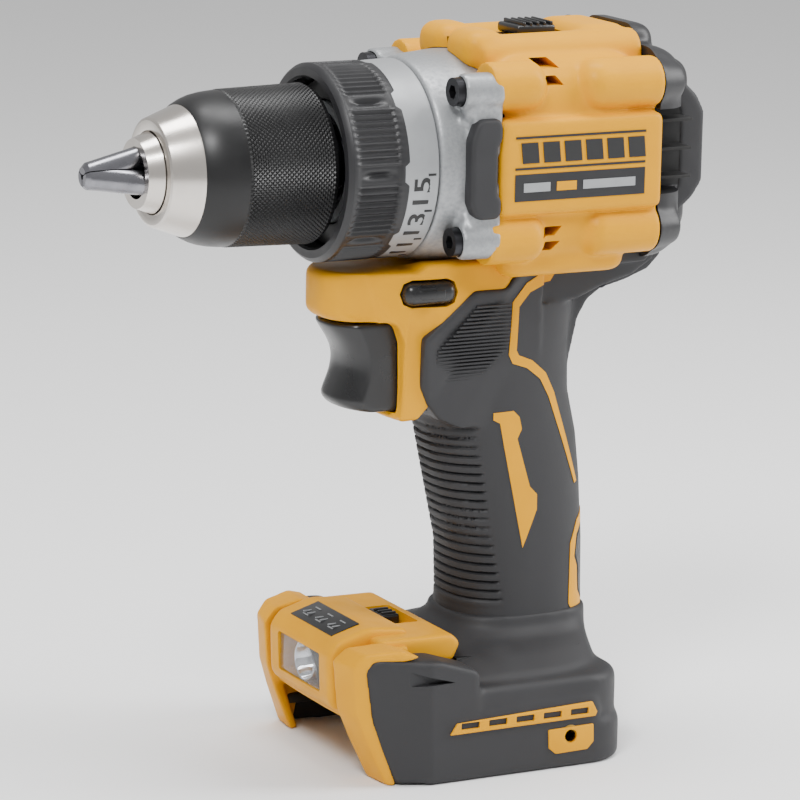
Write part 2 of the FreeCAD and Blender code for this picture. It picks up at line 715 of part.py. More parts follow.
# ---- outer body -------------------------------------------------------------
def ellipse_wire(z, x, half_x, half_y):
    major, minor = max(half_x, half_y), min(half_x, half_y)
    shape = Part.Ellipse(V(x, 0, z), major, minor).toShape()
    if half_y > half_x:
        shape.rotate(V(x, 0, z), V(0, 0, 1), 90)
    return Part.Wire(shape)


def handle_solid(inset, top=None, bottom=None):
    """Grip lofted through its sections, drawn in by an inset."""
    wires = [ellipse_wire(z, x, dx - inset, dy - inset) for z, x, dx, dy in HANDLE]
    body = Part.makeLoft(wires, True, False)
    if top is not None:
        body = body.common(block(-200, 0, -60, 60, bottom, top))
    return body


def barrel_solid():
    body = rounded_box(BARREL_FRONT_X, CAP_X, -BARREL_Y, BARREL_Y, BARREL_BOTTOM, BARREL_TOP,
                       BARREL_CORNER, V(1, 0, 0))
    return body


def trigger_block():
    """Nose of the housing above the trigger, narrower at its front."""
    plan = [(BLOCK_FRONT_X, BLOCK_FRONT_Y - 5), (BLOCK_FRONT_X - 5, BLOCK_FRONT_Y), (-96.0, BLOCK_REAR_Y)]
    plan += [(-112.0, BLOCK_REAR_Y), (-112.0, -BLOCK_REAR_Y), (-96.0, -BLOCK_REAR_Y)]
    plan += [(BLOCK_FRONT_X - 5, -BLOCK_FRONT_Y), (BLOCK_FRONT_X, -BLOCK_FRONT_Y + 5)]
    return prism_z(plan, BLOCK_BOTTOM, BLOCK_TOP)


def trigger_throat():
    """Squarer front of the grip that frames the trigger."""
    return rounded_box(THROAT_X, THROAT_X - 24.0, -THROAT_Y, THROAT_Y, THROAT_BOTTOM, BLOCK_BOTTOM + 2.0,
                       4.0, V(0, 0, 1))


def trigger_guard():
    """Lip under the trigger."""
    low = TRIGGER_BOTTOM - 0.4
    return prism_y([(-106, low), (-87, low), (-85.5, low - 1.2), (-98, low - 8)], -9.0, 9.0)


def rear_web():
    """Web that joins the motor housing to the back of the grip."""
    points = [(-118, -26), (CAP_X, -26), (CAP_X, -38.5), (-149, -44.0), (-144, -52), (-128, -48)]
    return prism_y(points, -14.0, 14.0)


def foot_solid(inset):
    """Foot that takes the battery, drawn in by an inset."""
    top = FOOT_TOP - inset
    side = [(FOOT_FRONT_X - inset, top), (-98.0, top), (-112.0, top + 1.0)]
    side += [(-146.0 + inset, FOOT_TOP - 1.0 - inset), (FOOT_REAR_X + inset, FOOT_TOP - 5.0 - inset)]
    side += [(FOOT_REAR_X + inset, FOOT_BOTTOM), (FOOT_FRONT_X - 6.5 - inset, FOOT_BOTTOM)]
    side += [(FOOT_FRONT_X - inset, FOOT_TOP - 20.0)]
    width = FOOT_Y - inset
    body = prism_y(side, -width, width)
    plan = rounded_box(FOOT_FRONT_X + 1, FOOT_REAR_X - 1, -width, width, FOOT_BOTTOM - 1, FOOT_TOP + 5,
                       FOOT_CORNER - inset, V(0, 0, 1))
    return body.common(plan)


def outer_solid():
    return fuse([barrel_solid(), rear_web(), trigger_block(), trigger_throat(), handle_solid(0), trigger_guard(),
                 foot_solid(0)])


def skin_region():
    """Side outline of everything that the rubber covers."""
    points = [(-110, -31.6), (-118, -31.6), (-128, -31.6), (CAP_X + 2, -31.6), (-162, -60), (-160, -170)]
    points += [(-76, -170), (-76, -150), (-96, -134), (-96, -100), (-97, -76), (-99, -62), (-103, -46)]
    return prism_y(points, -60, 60)


def skin_solid():
    """Rubber overmould on the grip and foot, both sides together."""
    outer = outer_solid().common(skin_region())
    throat = block(-200, 0, -THROAT_Y + SKIN, THROAT_Y - SKIN, THROAT_BOTTOM, -20)
    core = fuse([handle_solid(SKIN), foot_solid(SKIN), throat])
    skin = outer.cut(core)
    return skin.cut(block(-200, 0, -60, 60, FOOT_BOTTOM - 1, FOOT_BOTTOM + 1.2))


def screw_bosses():
    return [cross_rod(x, z, 4.0, -SCREW_HALF, SCREW_HALF) for x, z in HOUSING_SCREWS]


def housing_cavity():
    """Everything that is hollow inside the two halves."""
    wall = SKIN + WALL_THICK
    grip = handle_solid(wall, TRIGGER_TOP + 6.0, FOOT_TOP - 3.0)
    foot = block(-88, BAY_REAR_X - 1.5, -BAY_Y + 3, BAY_Y - 3, FOOT_TOP - 4.6, BAY_TOP + 2.6)
    motor = tube(CASE_REAR_X - 0.1, CAP_X - 1, MOTOR_BAY_R)
    seat = tube(BARREL_FRONT_X + 1, CASE_REAR_X - 2.9, CASE_R + 0.05)
    wires = block(-134, -128, -4, 4, BARREL_BOTTOM - 8, -20)
    return [motor, seat, grip, foot, wires]


def battery_bay():
    """Space that the battery slides into, less the two rails."""
    bay = block(0, BAY_REAR_X, -BAY_Y, BAY_Y, FOOT_BOTTOM - 5, BAY_TOP)
    rails = [block(-74, BAY_REAR_X - 5, BAY_Y - RAIL, BAY_Y + 5, RAIL_BOTTOM, RAIL_TOP)]
    rails.append(rails[0].mirror(V(0, 0, 0), V(0, 1, 0)))
    for rail in rails:
        bay = bay.cut(rail)
    return bay


def trigger_slot():
    return block(-60, SWITCH_X - 6, -TRIGGER_Y - GAP, TRIGGER_Y + GAP, TRIGGER_BOTTOM - GAP, TRIGGER_TOP + GAP)


def lever_shape(grow, reach):
    """Oval bar across the tool."""
    half_z = LEVER_HEIGHT / 2 + grow
    half_x = LEVER_LENGTH / 2 + grow
    return rounded_box(LEVER_X - half_x, LEVER_X + half_x, -reach, reach,
                       LEVER_Z - half_z, LEVER_Z + half_z, half_z - 0.05, V(0, 1, 0))


def selector_slot():
    front = SELECTOR_X + SELECTOR_LENGTH / 2
    rear = SELECTOR_X - SELECTOR_LENGTH / 2
    top = block(front + GAP, rear - SHIFT - GAP, -SELECTOR_Y - GAP, SELECTOR_Y + GAP, LINK_Z, BARREL_TOP + 5)
    run = block(GEAR_X[2] + 2.0, rear - SHIFT - GAP, -5.6, 5.6, LINK_Z - 0.9, LINK_Z + LINK_THICK + 0.4)
    drop = block(GEAR_X[2] + 2.0, GEAR_X[2] - STAGE_WIDTH[2] - SHIFT - 1.0, -5.6, 5.6, 24, LINK_Z)
    return [top, run, drop]


def lamp_pocket():
    return block(0, LAMP_X - LAMP_DEPTH - 0.1, -LAMP_Y - 0.1, LAMP_Y + 0.1, LAMP_BOTTOM - 0.1, LAMP_TOP + 10)


def slider_slot():
    reach = SLIDER_Y / 2 + SLIDER_TRAVEL / 2 + GAP
    return block(SLIDER_X - 3.3, SLIDER_X + 3.3, -reach, reach, FOOT_TOP - 5, FOOT_TOP + 5)


def vent_slots():
    """Pairs of air vents through both sides of the motor housing."""
    slots = []
    for z in (25.0, -20.5):
        for x in (-116.0, -121.5):
            slots.append(cross_rod(x, z, 1.5, -60, 60))
    for x in range(-92, -134, -9):
        slots.append(block(x, x - 6, -60, 60, -149.2, -147.0))
    return slots


def screw_holes():
    holes = []
    for x, z in HOUSING_SCREWS:
        holes.append(cross_rod(x, z, HOUSING_SCREW_R, -SCREW_HALF - 1, SCREW_HALF - 3))
        holes.append(cross_rod(x, z, 3.2, -60, -SCREW_HALF + 2))
    return holes


def label_pocket():
    return block(-109.0, -150.5, BARREL_Y - 0.8, BARREL_Y + 1, -8.4, 9.3)


def housing_half():
    """Left half of the yellow housing; the right half is its mirror image."""
    body = half(outer_solid(), 1).cut(half(skin_solid(), 1))
    bosses = [half(boss, 1) for boss in screw_bosses()]
    for cavity in housing_cavity():
        body = body.cut(half(cavity, 1).cut(bosses))
    cutters = [battery_bay(), trigger_slot(), lever_shape(GAP, 60), lamp_pocket(), slider_slot()]
    cutters += selector_slot() + vent_slots() + terminal_opening() + [label_pocket()]
    cutters += [tube(CASE_REAR_X - 2.4, CAP_X - 1, MOTOR_BAY_R - 2.0)]
    cutters += insert_holes()
    for z in EAR_Z:
        cutters.append(rod(BARREL_FRONT_X + 1, HOUSING_SEAT_X, EAR_R + 0.1, EAR_Y, z))
        cutters.append(block(BARREL_FRONT_X + 1, HOUSING_SEAT_X, 0, EAR_Y, z - 3.1, z + 3.1))
        cutters.append(rod(HOUSING_SEAT_X + 1, HOUSING_SEAT_X - 9.5, CASE_SCREW_R, EAR_Y, z))
    for cutter in cutters:
        body = body.cut(half(cutter, 1))
    return biggest(body)


def biggest(shape):
    """The main solid of a half, without loose chips."""
    return max(shape.Solids, key=lambda solid: solid.Volume)


def insert_holes():
    return [cross_rod(HOOK_X, HOOK_Z, INSERT_R, side * (FOOT_Y - INSERT_LENGTH), side * (FOOT_Y + 1))
            for side in (1, -1)]


def terminal_opening():
    return [block(TERMINAL_X, TERMINAL_X - 20, -19, 19, BAY_TOP - 1, BAY_TOP + 3)]


# ---- pieces on and in the housing --------------------------------------------
def hook_inserts():
    """Threaded brass inserts for the belt hook."""
    pieces = []
    for side in (1, -1):
        deep, face = side * (FOOT_Y - INSERT_LENGTH), side * (FOOT_Y - 0.1)
        body = cross_rod(HOOK_X, HOOK_Z, INSERT_R, deep, face)
        pieces.append(body.cut(cross_rod(HOOK_X, HOOK_Z, HOOK_THREAD_R, deep - side, face + side)))
    return pieces


def housing_screws():
    pieces = []
    for x, z in HOUSING_SCREWS:
        shank = cross_rod(x, z, HOUSING_SCREW_R, -SCREW_HALF, SCREW_HALF - 3)
        head = cross_rod(x, z, 2.9, -SCREW_HALF - 0.4, -SCREW_HALF + 2)
        pieces.append(fuse([shank, head]))
    return pieces


def side_bumpers():
    """Pads on both sides, where the gear case meets the housing."""
    pad = rounded_box(-97.0, BARREL_FRONT_X + 0.05, CASE_R - 2.2, BARREL_Y + 0.6, -12.0, 13.2, 1.0, V(1, 0, 0))
    pad = pad.cut(tube(-80, -130, CASE_R + 0.05))
    return both_sides(pad)


def rear_cap():
    """Cover behind the motor, with side vents and the rear bearing seat."""
    corner = BARREL_CORNER - 1.5
    inset = 2.6
    body = rounded_box(CAP_X, CAP_REAR_X, -BARREL_Y + 0.8, BARREL_Y - 0.8, BARREL_BOTTOM + 1, BARREL_TOP - 1,
                       corner, V(1, 0, 0))
    taper = [(CAP_X, -BARREL_Y), (CAP_X - 6, -BARREL_Y), (CAP_REAR_X, -19), (CAP_REAR_X, 19)]
    taper += [(CAP_X - 6, BARREL_Y), (CAP_X, BARREL_Y)]
    body = body.common(prism_z(taper, -80, 80))
    slope = [(CAP_X, 40), (CAP_X, -40), (CAP_X - 12, -31), (CAP_REAR_X, -27), (CAP_REAR_X, 22), (CAP_X - 8, 36)]
    body = body.common(prism_y(slope, -60, 60))
    hollow = tube(CAP_X + 1, CAP_REAR_X + inset, 17.0)
    mouth = revolve([(CAP_X + 1, 0), (CAP_X + 1, 27.0), (CAP_X - 4, 26.0), (CAP_REAR_X + inset, 15.0),
                     (CAP_REAR_X + inset, 0)])
    body = body.cut(fuse([hollow, mouth]))
    seat = tube(REAR_BEARING_X, CAP_REAR_X + 1, MOTOR_BEARING_R + 2.0, MOTOR_BEARING_R + FIT)
    spokes = [block(REAR_BEARING_X - 2, CAP_REAR_X + 1, -1.2, 1.2, MOTOR_BEARING_R + 1.5, 23)]
    envelope = body_envelope()
    spokes = [spoke.common(envelope) for spoke in ring_of(spokes[0], 4)]
    body = fuse([body, seat] + spokes)
    for z in (-12.0, -4.0, 4.0, 12.0):
        body = body.cut(block(CAP_X - 4, CAP_X - 12, -60, 60, z - 2.4, z + 2.4).cut(
            block(-200, 0, -17, 17, -60, 60)))
    return body


def body_envelope():
    return tube(CAP_X, CAP_REAR_X + 1, 21.0)


def rear_bumper():
    """Rubber pad round the back of the cap."""
    plate = rounded_box(CAP_REAR_X - 0.02, CAP_REAR_X - 2.6, -17.5, 17.5, -18.0, 19.0, 8.0, V(1, 0, 0))
    return plate.cut(rounded_box(CAP_REAR_X + 1, CAP_REAR_X - 4, -11, 11, -11, 12, 5.0, V(1, 0, 0)))


def trigger():
    """Concave finger piece with the stem that works the switch."""
    front = TRIGGER_FRONT_X
    curve = []
    for i in range(9):
        t = i / 8.0
        z = TRIGGER_TOP - 0.6 + (TRIGGER_BOTTOM + 3.0 - TRIGGER_TOP) * t
        curve.append((front - 5.2 * math.sin(math.pi * t) - 2.0 * t, z))
    points = curve + [(front - 7.5, TRIGGER_BOTTOM), (TRIGGER_REAR_X, TRIGGER_BOTTOM), (TRIGGER_REAR_X, TRIGGER_TOP)]
    body = prism_y(points, -TRIGGER_Y, TRIGGER_Y)
    edges = []
    for edge in body.Edges:
        box = edge.BoundBox
        if box.XMin > front - 9 and box.YLength < 0.01 and box.ZLength > 1:
            edges.append(edge)
    body = body.makeFillet(1.0, edges) if edges else body
    stem = block(TRIGGER_REAR_X + 1, SWITCH_X - 8.0, -2.5, 2.5, -57.5, -52.5)
    return fuse([body, stem])


def switch_body():
    """Variable-speed switch behind the trigger, with the hole for its stem."""
    body = block(SWITCH_X, SWITCH_X - SWITCH_LENGTH, -SWITCH_Y, SWITCH_Y, TRIGGER_BOTTOM + 0.5, TRIGGER_TOP - 3.6)
    deep = SWITCH_X - 8.0 - TRIGGER_TRAVEL - 0.5
    return body.cut(block(SWITCH_X + 1, deep, -2.8, 2.8, -57.8, -52.2))


def direction_lever():
    return lever_shape(0, LEVER_REACH)


def speed_selector():
    """Ribbed slider on top of the housing."""
    front = SELECTOR_X + SELECTOR_LENGTH / 2
    rear = SELECTOR_X - SELECTOR_LENGTH / 2
    body = block(front, rear, -SELECTOR_Y, SELECTOR_Y, LINK_Z + LINK_THICK, BARREL_TOP + 0.6)
    for i in range(4):
        x = front - 2.4 - i * 2.4
        body = body.cut(block(x, x - 0.9, -SELECTOR_Y - 1, SELECTOR_Y + 1, BARREL_TOP - 0.6, BARREL_TOP + 2))
    return body


def shift_link():
    """Steel strip from the selector to the groove of the middle ring gear."""
    front = GEAR_X[2] - STAGE_WIDTH[2] / 2 + 0.8
    strip = block(front, SELECTOR_X - 4, -4.6, 4.6, LINK_Z, LINK_Z + LINK_THICK)
    fork = block(front, front - 1.6, -4.6, 4.6, RING_R - 1.0, LINK_Z + 0.5)
    return fuse([strip, fork])


def lamp_head():
    """Pod at the front of the foot that holds the work lamp."""
    rear = LAMP_X - LAMP_DEPTH
    side = [(LAMP_X, LAMP_TOP - 5), (LAMP_X - 3, LAMP_TOP - 3.6), (LAMP_X - 12, LAMP_TOP), (rear, LAMP_TOP)]
    side += [(rear, LAMP_BOTTOM), (LAMP_X, LAMP_BOTTOM)]
    body = prism_y(side, -LAMP_Y, LAMP_Y)
    window = block(LAMP_X + 1, LAMP_X - 12, -WINDOW_Y, WINDOW_Y, WINDOW_BOTTOM, WINDOW_TOP)
    return body.cut(window)


def lamp_lens():
    return block(LAMP_X - 1.0, LAMP_X - 2.2, -WINDOW_Y, WINDOW_Y, WINDOW_BOTTOM, WINDOW_TOP)


def lamp_reflector():
    """Bright bowl behind the lens."""
    body = block(LAMP_X - 2.3, LAMP_X - 9.5, -WINDOW_Y, WINDOW_Y, WINDOW_BOTTOM, WINDOW_TOP)
    middle = (WINDOW_TOP + WINDOW_BOTTOM) / 2
    bowl = Part.makeCone(2.0, 5.0, 7.4, V(LAMP_X - 9.6, 0, middle), V(1, 0, 0))
    return body.cut(bowl)


def lamp_board():
    """Small board with the light-emitting diode on it."""
    middle = (WINDOW_TOP + WINDOW_BOTTOM) / 2
    board = block(LAMP_X - 9.6, LAMP_X - 11.2, -WINDOW_Y + 1, WINDOW_Y - 1, WINDOW_BOTTOM + 0.5, WINDOW_TOP - 0.5)
    return fuse([board, block(LAMP_X - 8.4, LAMP_X - 9.8, -1.2, 1.2, middle - 1.2, middle + 1.2)])


def lamp_slider():
    """Black slider that picks the lamp's mode."""
    body = block(SLIDER_X - 3.0, SLIDER_X + 3.0, -SLIDER_Y / 2 - SLIDER_TRAVEL / 2, SLIDER_Y / 2 - SLIDER_TRAVEL / 2,
                 FOOT_TOP - 3.0, FOOT_TOP + 1.2)
    return body


def control_module():
    """Potted electronics above the battery bay."""
    return block(-100.0, -138.0, -24.0, 24.0, FOOT_TOP - 16.0, FOOT_TOP - 6.0)


def terminal_block():
    body = block(TERMINAL_X - 0.2, TERMINAL_X - 19.8, -18.8, 18.8, BAY_TOP - 1.2, BAY_TOP + 2.8)
    return body


def terminal_blades():
    blade = block(TERMINAL_X + 4.0, TERMINAL_X - 14.0, -0.5, 0.5, BAY_TOP - 8.0, BAY_TOP - 1.2)
    return [blade.translated(V(0, y, 0)) for y in (-13.5, -4.5, 4.5, 13.5)]


# ---- build ------------------------------------------------------------------
def build():
    for i, piece in enumerate(ring_of(jaw(), 3)):
        save("chuck_jaw_%d" % (i + 1), piece)
    save("chuck_body", chuck_body())
    save("chuck_nose_ring", chuck_nose_ring())
    save("chuck_nut", chuck_nut())
    save("chuck_sleeve", chuck_sleeve())
    save("chuck_thrust_balls", thrust_balls())
    save("chuck_screw", chuck_screw())
    save("spindle", spindle())
    save("spindle_bearings", spindle_bearing() + [spindle_bushing()])
    save("torque_collar", torque_collar())
    save("torque_number_ring", number_ring())
    save("clutch_nut", clutch_nut())
    save("clutch_spring", clutch_spring())
    save("clutch_washer", clutch_washer())
    save("clutch_pins", clutch_pins())
    save("gear_case", gear_case())
    save("gear_case_screws", gear_case_screws())
    for stage in (1, 2, 3):
        save("ring_gear_%d" % stage, ring_gear(stage))
        save("carrier_%d" % stage, carrier(stage))
        for i, gear in enumerate(planets(stage)):
            save("planet_%d_%d" % (stage, i + 1), gear)
    save("gear_cover_plate", cover_plate())
    save("motor_bearings", motor_front_bearing() + motor_rear_bearing())
    save("motor_rotor", [motor_rotor(), motor_pinion()] + motor_magnets())
    save("motor_stator", stator_core())
    save("stator_windings", stator_windings())
    save("motor_board", motor_board())
    save("cooling_fan", cooling_fan())
    skin = half(skin_solid(), 1)
    for cutter in insert_holes() + vent_slots():
        skin = skin.cut(cutter)
    for name, piece in (("housing", housing_half()), ("grip", biggest(skin))):
        left, right = both_sides(piece)
        for hole in screw_holes():
            left = left.cut(hole)
            right = right.cut(hole)
        save(name + "_left", biggest(left))
        save(name + "_right", biggest(right))
    save("hook_inserts", hook_inserts())
    save("housing_screws", housing_screws())
    save("bumpers", side_bumpers() + [rear_bumper()])
    save("rear_cap", rear_cap())
    save("trigger", trigger())
    save("switch_body", switch_body())
    save("direction_lever", direction_lever())
    save("speed_selector", speed_selector())
    save("shift_link", shift_link())
    save("lamp_head", lamp_head())
    save("lamp_lens", lamp_lens())
    save("lamp_reflector", [lamp_reflector(), lamp_board()])
    save("lamp_slider", lamp_slider())
    save("control_module", control_module())
    save("terminal_block", [terminal_block()] + terminal_blades())


build()
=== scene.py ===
# %% [markdown]
# A cordless drill with its finished surfaces. The engineering model arrives with every
# part already in place, so this notebook never moves anything. It makes finished
# mouldings, turned metal and printed details that ride on the parts' bodies.
# Sizes below are in millimetres and become metres when a mesh is finished.

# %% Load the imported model
import bpy
import bmesh
import json
import math
from mathutils import Matrix, Vector


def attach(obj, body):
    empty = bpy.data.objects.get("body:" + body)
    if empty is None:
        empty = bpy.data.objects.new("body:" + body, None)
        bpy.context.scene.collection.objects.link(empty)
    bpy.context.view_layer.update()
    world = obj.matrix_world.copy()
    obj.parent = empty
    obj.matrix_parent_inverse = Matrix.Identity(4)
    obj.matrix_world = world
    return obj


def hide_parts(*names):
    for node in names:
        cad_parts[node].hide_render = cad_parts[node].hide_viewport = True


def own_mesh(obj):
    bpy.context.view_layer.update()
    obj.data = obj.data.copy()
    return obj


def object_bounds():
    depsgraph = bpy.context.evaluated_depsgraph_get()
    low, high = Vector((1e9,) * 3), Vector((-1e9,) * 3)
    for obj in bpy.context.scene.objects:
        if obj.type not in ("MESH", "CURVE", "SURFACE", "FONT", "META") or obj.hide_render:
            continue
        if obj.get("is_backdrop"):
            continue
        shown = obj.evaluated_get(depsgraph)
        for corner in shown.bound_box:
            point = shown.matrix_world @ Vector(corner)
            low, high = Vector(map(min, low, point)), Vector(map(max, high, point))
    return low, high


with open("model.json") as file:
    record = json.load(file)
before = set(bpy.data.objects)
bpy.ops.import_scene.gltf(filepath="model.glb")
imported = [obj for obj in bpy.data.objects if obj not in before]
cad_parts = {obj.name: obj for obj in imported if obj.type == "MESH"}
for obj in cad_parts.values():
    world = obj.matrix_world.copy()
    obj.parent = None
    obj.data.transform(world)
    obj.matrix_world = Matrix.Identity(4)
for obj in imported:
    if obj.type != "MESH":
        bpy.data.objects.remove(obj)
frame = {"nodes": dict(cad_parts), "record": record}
CAD_LOW, CAD_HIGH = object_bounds()
MM = 0.001
FLOOR_Z = CAD_LOW.z / MM
print("nodes", len(frame["nodes"]), "floor at", round(FLOOR_Z, 1))

# %% [markdown]
# A few helpers shape everything. Each solid is drawn in its own small bmesh. Solids that overlap are melted into
# one skin by a voxel remesh, then relaxed, which gives the soft blends of an injection moulding. Crisp parts are
# bevelled instead.


# %% Helpers that draw solids
def share(value):
    """A value kept between 0 and 1, for blends along a shape."""
    return max(0.0, min(1.0, value))


def about(middle, half):
    """The (low, high) pair that lies half each side of a middle."""
    return middle - half, middle + half


def touching(parts, kind):
    """What touches some parts, each once and in a steady order, so that every run is the same."""
    return list(dict.fromkeys(found for part in parts for found in getattr(part, kind)))


def soften(bm, edges, width, segments=3):
    """Rounds edges with the bevel of the editor's own defaults."""
    bmesh.ops.bevel(bm, geom=edges, offset=width, segments=segments, affect="EDGES", profile=0.5, material=-1)


def solid_box(bm, x, y, z, bevel=0.0, segments=3):
    """Box between (low, high) pairs, with optional rounded edges."""
    size = Vector((x[1] - x[0], y[1] - y[0], z[1] - z[0]))
    middle = Vector((x[0] + x[1], y[0] + y[1], z[0] + z[1])) / 2
    made = bmesh.ops.create_cube(bm, size=1.0, matrix=Matrix.Translation(middle) @ Matrix.Diagonal((*size, 1)))
    if bevel > 0:
        soften(bm, touching(made["verts"], "link_edges"), bevel, segments)
    return made["verts"]


def solid_rod(bm, start, end, r0, r1=None, segments=40):
    """Cylinder or cone between two points."""
    a, b = Vector(start), Vector(end)
    turn = (b - a).to_track_quat("Z", "Y").to_matrix().to_4x4()
    place = Matrix.Translation((a + b) / 2) @ turn
    bmesh.ops.create_cone(bm, cap_ends=True, segments=segments, radius1=r0, radius2=r0 if r1 is None else r1,
                          depth=(b - a).length, matrix=place)


def solid_ball(bm, centre, radius, squash=(1, 1, 1)):
    """Ball that may be squashed along the axes."""
    place = Matrix.Translation(Vector(centre)) @ Matrix.Diagonal((*squash, 1))
    bmesh.ops.create_uvsphere(bm, u_segments=32, v_segments=20, radius=radius, matrix=place)


def solid_slab(bm, outline, y0, y1, bevel=0.0):
    """Outline in X and Z, extruded across the tool."""
    corners = [bm.verts.new((x, y0, z)) for x, z in outline]
    face = bm.faces.new(corners)
    grown = bmesh.ops.extrude_face_region(bm, geom=[face])
    moved = [v for v in grown["geom"] if isinstance(v, bmesh.types.BMVert)]
    bmesh.ops.translate(bm, verts=moved, vec=(0, y1 - y0, 0))
    faces = touching(corners + moved, "link_faces")
    bmesh.ops.recalc_face_normals(bm, faces=faces)
    if bevel > 0:
        soften(bm, touching(faces, "edges"), bevel)
    return corners + moved


def solid_loft(bm, sections, power=2.4, segments=64):
    """Upright form bridged through (height, centre x, half depth, half width) rings."""
    rings = []
    for z, cx, half_x, half_y in sections:
        made = bmesh.ops.create_circle(bm, cap_ends=False, segments=segments, radius=1.0)
        for v in made["verts"]:
            a = math.atan2(v.co.y, v.co.x)
            c, s = math.cos(a), math.sin(a)
            v.co.x = cx + half_x * math.copysign(abs(c) ** (2 / power), c)
            v.co.y = half_y * math.copysign(abs(s) ** (2 / power), s)
            v.co.z = z
        rings.append(touching(made["verts"], "link_edges"))
    for low, high in zip(rings, rings[1:]):
        bmesh.ops.bridge_loops(bm, edges=low + high)
    for ring in (rings[0], rings[-1]):
        bmesh.ops.holes_fill(bm, edges=ring, sides=0)
    bmesh.ops.recalc_face_normals(bm, faces=bm.faces[:])


def solid_block(bm, x, half_y, z, corner, edge):
    """Box with large upright rear corners and small edges round its ends."""
    front, rear, arc = x[1], x[0] + corner, []
    for i in range(9):
        turn = math.pi / 2 * i / 8
        arc.append((rear - corner * math.sin(turn), half_y - corner + corner * math.cos(turn)))
    ring = [(front, half_y)] + arc + [(px, -py) for px, py in reversed(arc)] + [(front, -half_y)]
    face = bm.faces.new([bm.verts.new((px, py, z[0])) for px, py in ring])
    grown = bmesh.ops.extrude_face_region(bm, geom=[face])
    top = [g for g in grown["geom"] if isinstance(g, bmesh.types.BMVert)]
    bmesh.ops.translate(bm, verts=top, vec=(0, 0, z[1] - z[0]))
    faces = touching(top + face.verts[:], "link_faces")
    bmesh.ops.recalc_face_normals(bm, faces=faces)
    soften(bm, [e for f in faces if len(f.verts) > 4 for e in f.edges], edge)


def turned_profile(bm, points, segments=128):
    """Profile of (x, radius) points spun a full turn about the spindle axis."""
    verts = [bm.verts.new((x, 0, r)) for x, r in points]
    edges = [bm.edges.new(pair) for pair in zip(verts, verts[1:] + verts[:1])]
    bmesh.ops.spin(bm, geom=verts + edges, cent=(0, 0, 0), axis=(1, 0, 0), angle=2 * math.pi,
                   steps=segments, use_merge=True)
    bmesh.ops.remove_doubles(bm, verts=bm.verts[:], dist=1e-4)
    bmesh.ops.recalc_face_normals(bm, faces=bm.faces[:])


# %% [markdown]
# A drawn solid becomes a piece in four steps: scale it to metres, melt or carve it, decide which edges stay
# sharp, then give it a material and a body to ride on. Modifiers do the remesh and the booleans, and each is
# baked at once, so the mesh that is seen is the object's own mesh.

# %% Helpers that finish pieces
def settle(obj):
    """Bakes the object's modifiers into its mesh."""
    graph = bpy.context.evaluated_depsgraph_get()
    mesh = bpy.data.meshes.new_from_object(obj.evaluated_get(graph))
    obj.modifiers.clear()
    old, obj.data = obj.data, mesh
    bpy.data.meshes.remove(old)


def raw_object(name, bm):
    """Turns millimetres into metres and makes an object at the origin."""
    bmesh.ops.scale(bm, verts=bm.verts[:], vec=(MM, MM, MM))
    mesh = bpy.data.meshes.new(name)
    bm.to_mesh(mesh)
    bm.free()
    obj = bpy.data.objects.new(name, mesh)
    bpy.context.scene.collection.objects.link(obj)
    return obj


def opened(mesh):
    """A bmesh that holds what a mesh holds."""
    bm = bmesh.new()
    bm.from_mesh(mesh)
    return bm


def closed(bm, mesh):
    """Writes a bmesh back into its mesh."""
    bm.to_mesh(mesh)
    bm.free()


def melt(obj, voxel, relax):
    """Voxel remesh that joins overlapping solids, then a few smoothing passes."""
    mod = obj.modifiers.new("melt", "REMESH")
    mod.mode = "VOXEL"
    mod.voxel_size = voxel * MM
    settle(obj)
    bm = opened(obj.data)
    for _ in range(relax):
        bmesh.ops.smooth_vert(bm, verts=bm.verts[:], factor=0.5, use_axis_x=True, use_axis_y=True,
                              use_axis_z=True)
    closed(bm, obj.data)


def separate_solids(bm):
    """Copies of the solids drawn in one bmesh, each in a bmesh of its own."""
    bm.verts.index_update()
    left = set(bm.verts)
    parts = []
    for seed in bm.verts[:]:
        if seed not in left:
            continue
        reach = [seed]
        island = set(reach)
        while reach:
            for edge in reach.pop().link_edges:
                for v in edge.verts:
                    if v not in island:
                        island.add(v)
                        reach.append(v)
        left -= island
        keep = {v.index for v in island}
        part = bm.copy()
        bmesh.ops.delete(part, geom=[v for v in part.verts if v.index not in keep], context="VERTS")
        parts.append(part)
    bm.free()
    return parts


def carve(obj, tool_bm, how="DIFFERENCE"):
    """Cuts, joins or intersects a piece with every solid of a tool, one after another."""
    tools = [raw_object("tool", part) for part in separate_solids(tool_bm)]
    for tool in tools:
        mod = obj.modifiers.new("carve", "BOOLEAN")
        mod.operation = how
        mod.solver = "MANIFOLD"
        mod.object = tool
    settle(obj)
    for tool in tools:
        bpy.data.objects.remove(tool)


def round_front(obj, front, depth, half_width, pull, power=3.0, narrow=0.0):
    """Draws the outer corners of a flat front backwards, as a bullnose, and narrows it."""
    bm = opened(obj.data)
    for v in bm.verts:
        near = share((v.co.x / MM - (front - depth)) / depth)
        out = min(1.0, abs(v.co.y / MM) / half_width)
        v.co.x -= pull * near * out ** power * MM
        v.co.y *= 1 - narrow * near
    closed(bm, obj.data)


def shade(obj, angle=32.0):
    """Smooth shading with sharp edges kept where faces meet steeply."""
    bm = opened(obj.data)
    limit = math.radians(angle)
    for face in bm.faces:
        face.smooth = True
    for edge in bm.edges:
        if len(edge.link_faces) == 2:
            edge.smooth = edge.calc_face_angle(0.0) < limit
    closed(bm, obj.data)


def done(obj, body, material, *nodes, angle=32.0):
    """Gives a piece its finish, its body and the nodes it stands for."""
    obj.data.materials.clear()
    obj.data.materials.append(material)
    shade(obj, angle)
    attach(obj, body)
    if nodes:
        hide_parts(*nodes)
    print(obj.name, len(obj.data.polygons), "faces")
    return obj


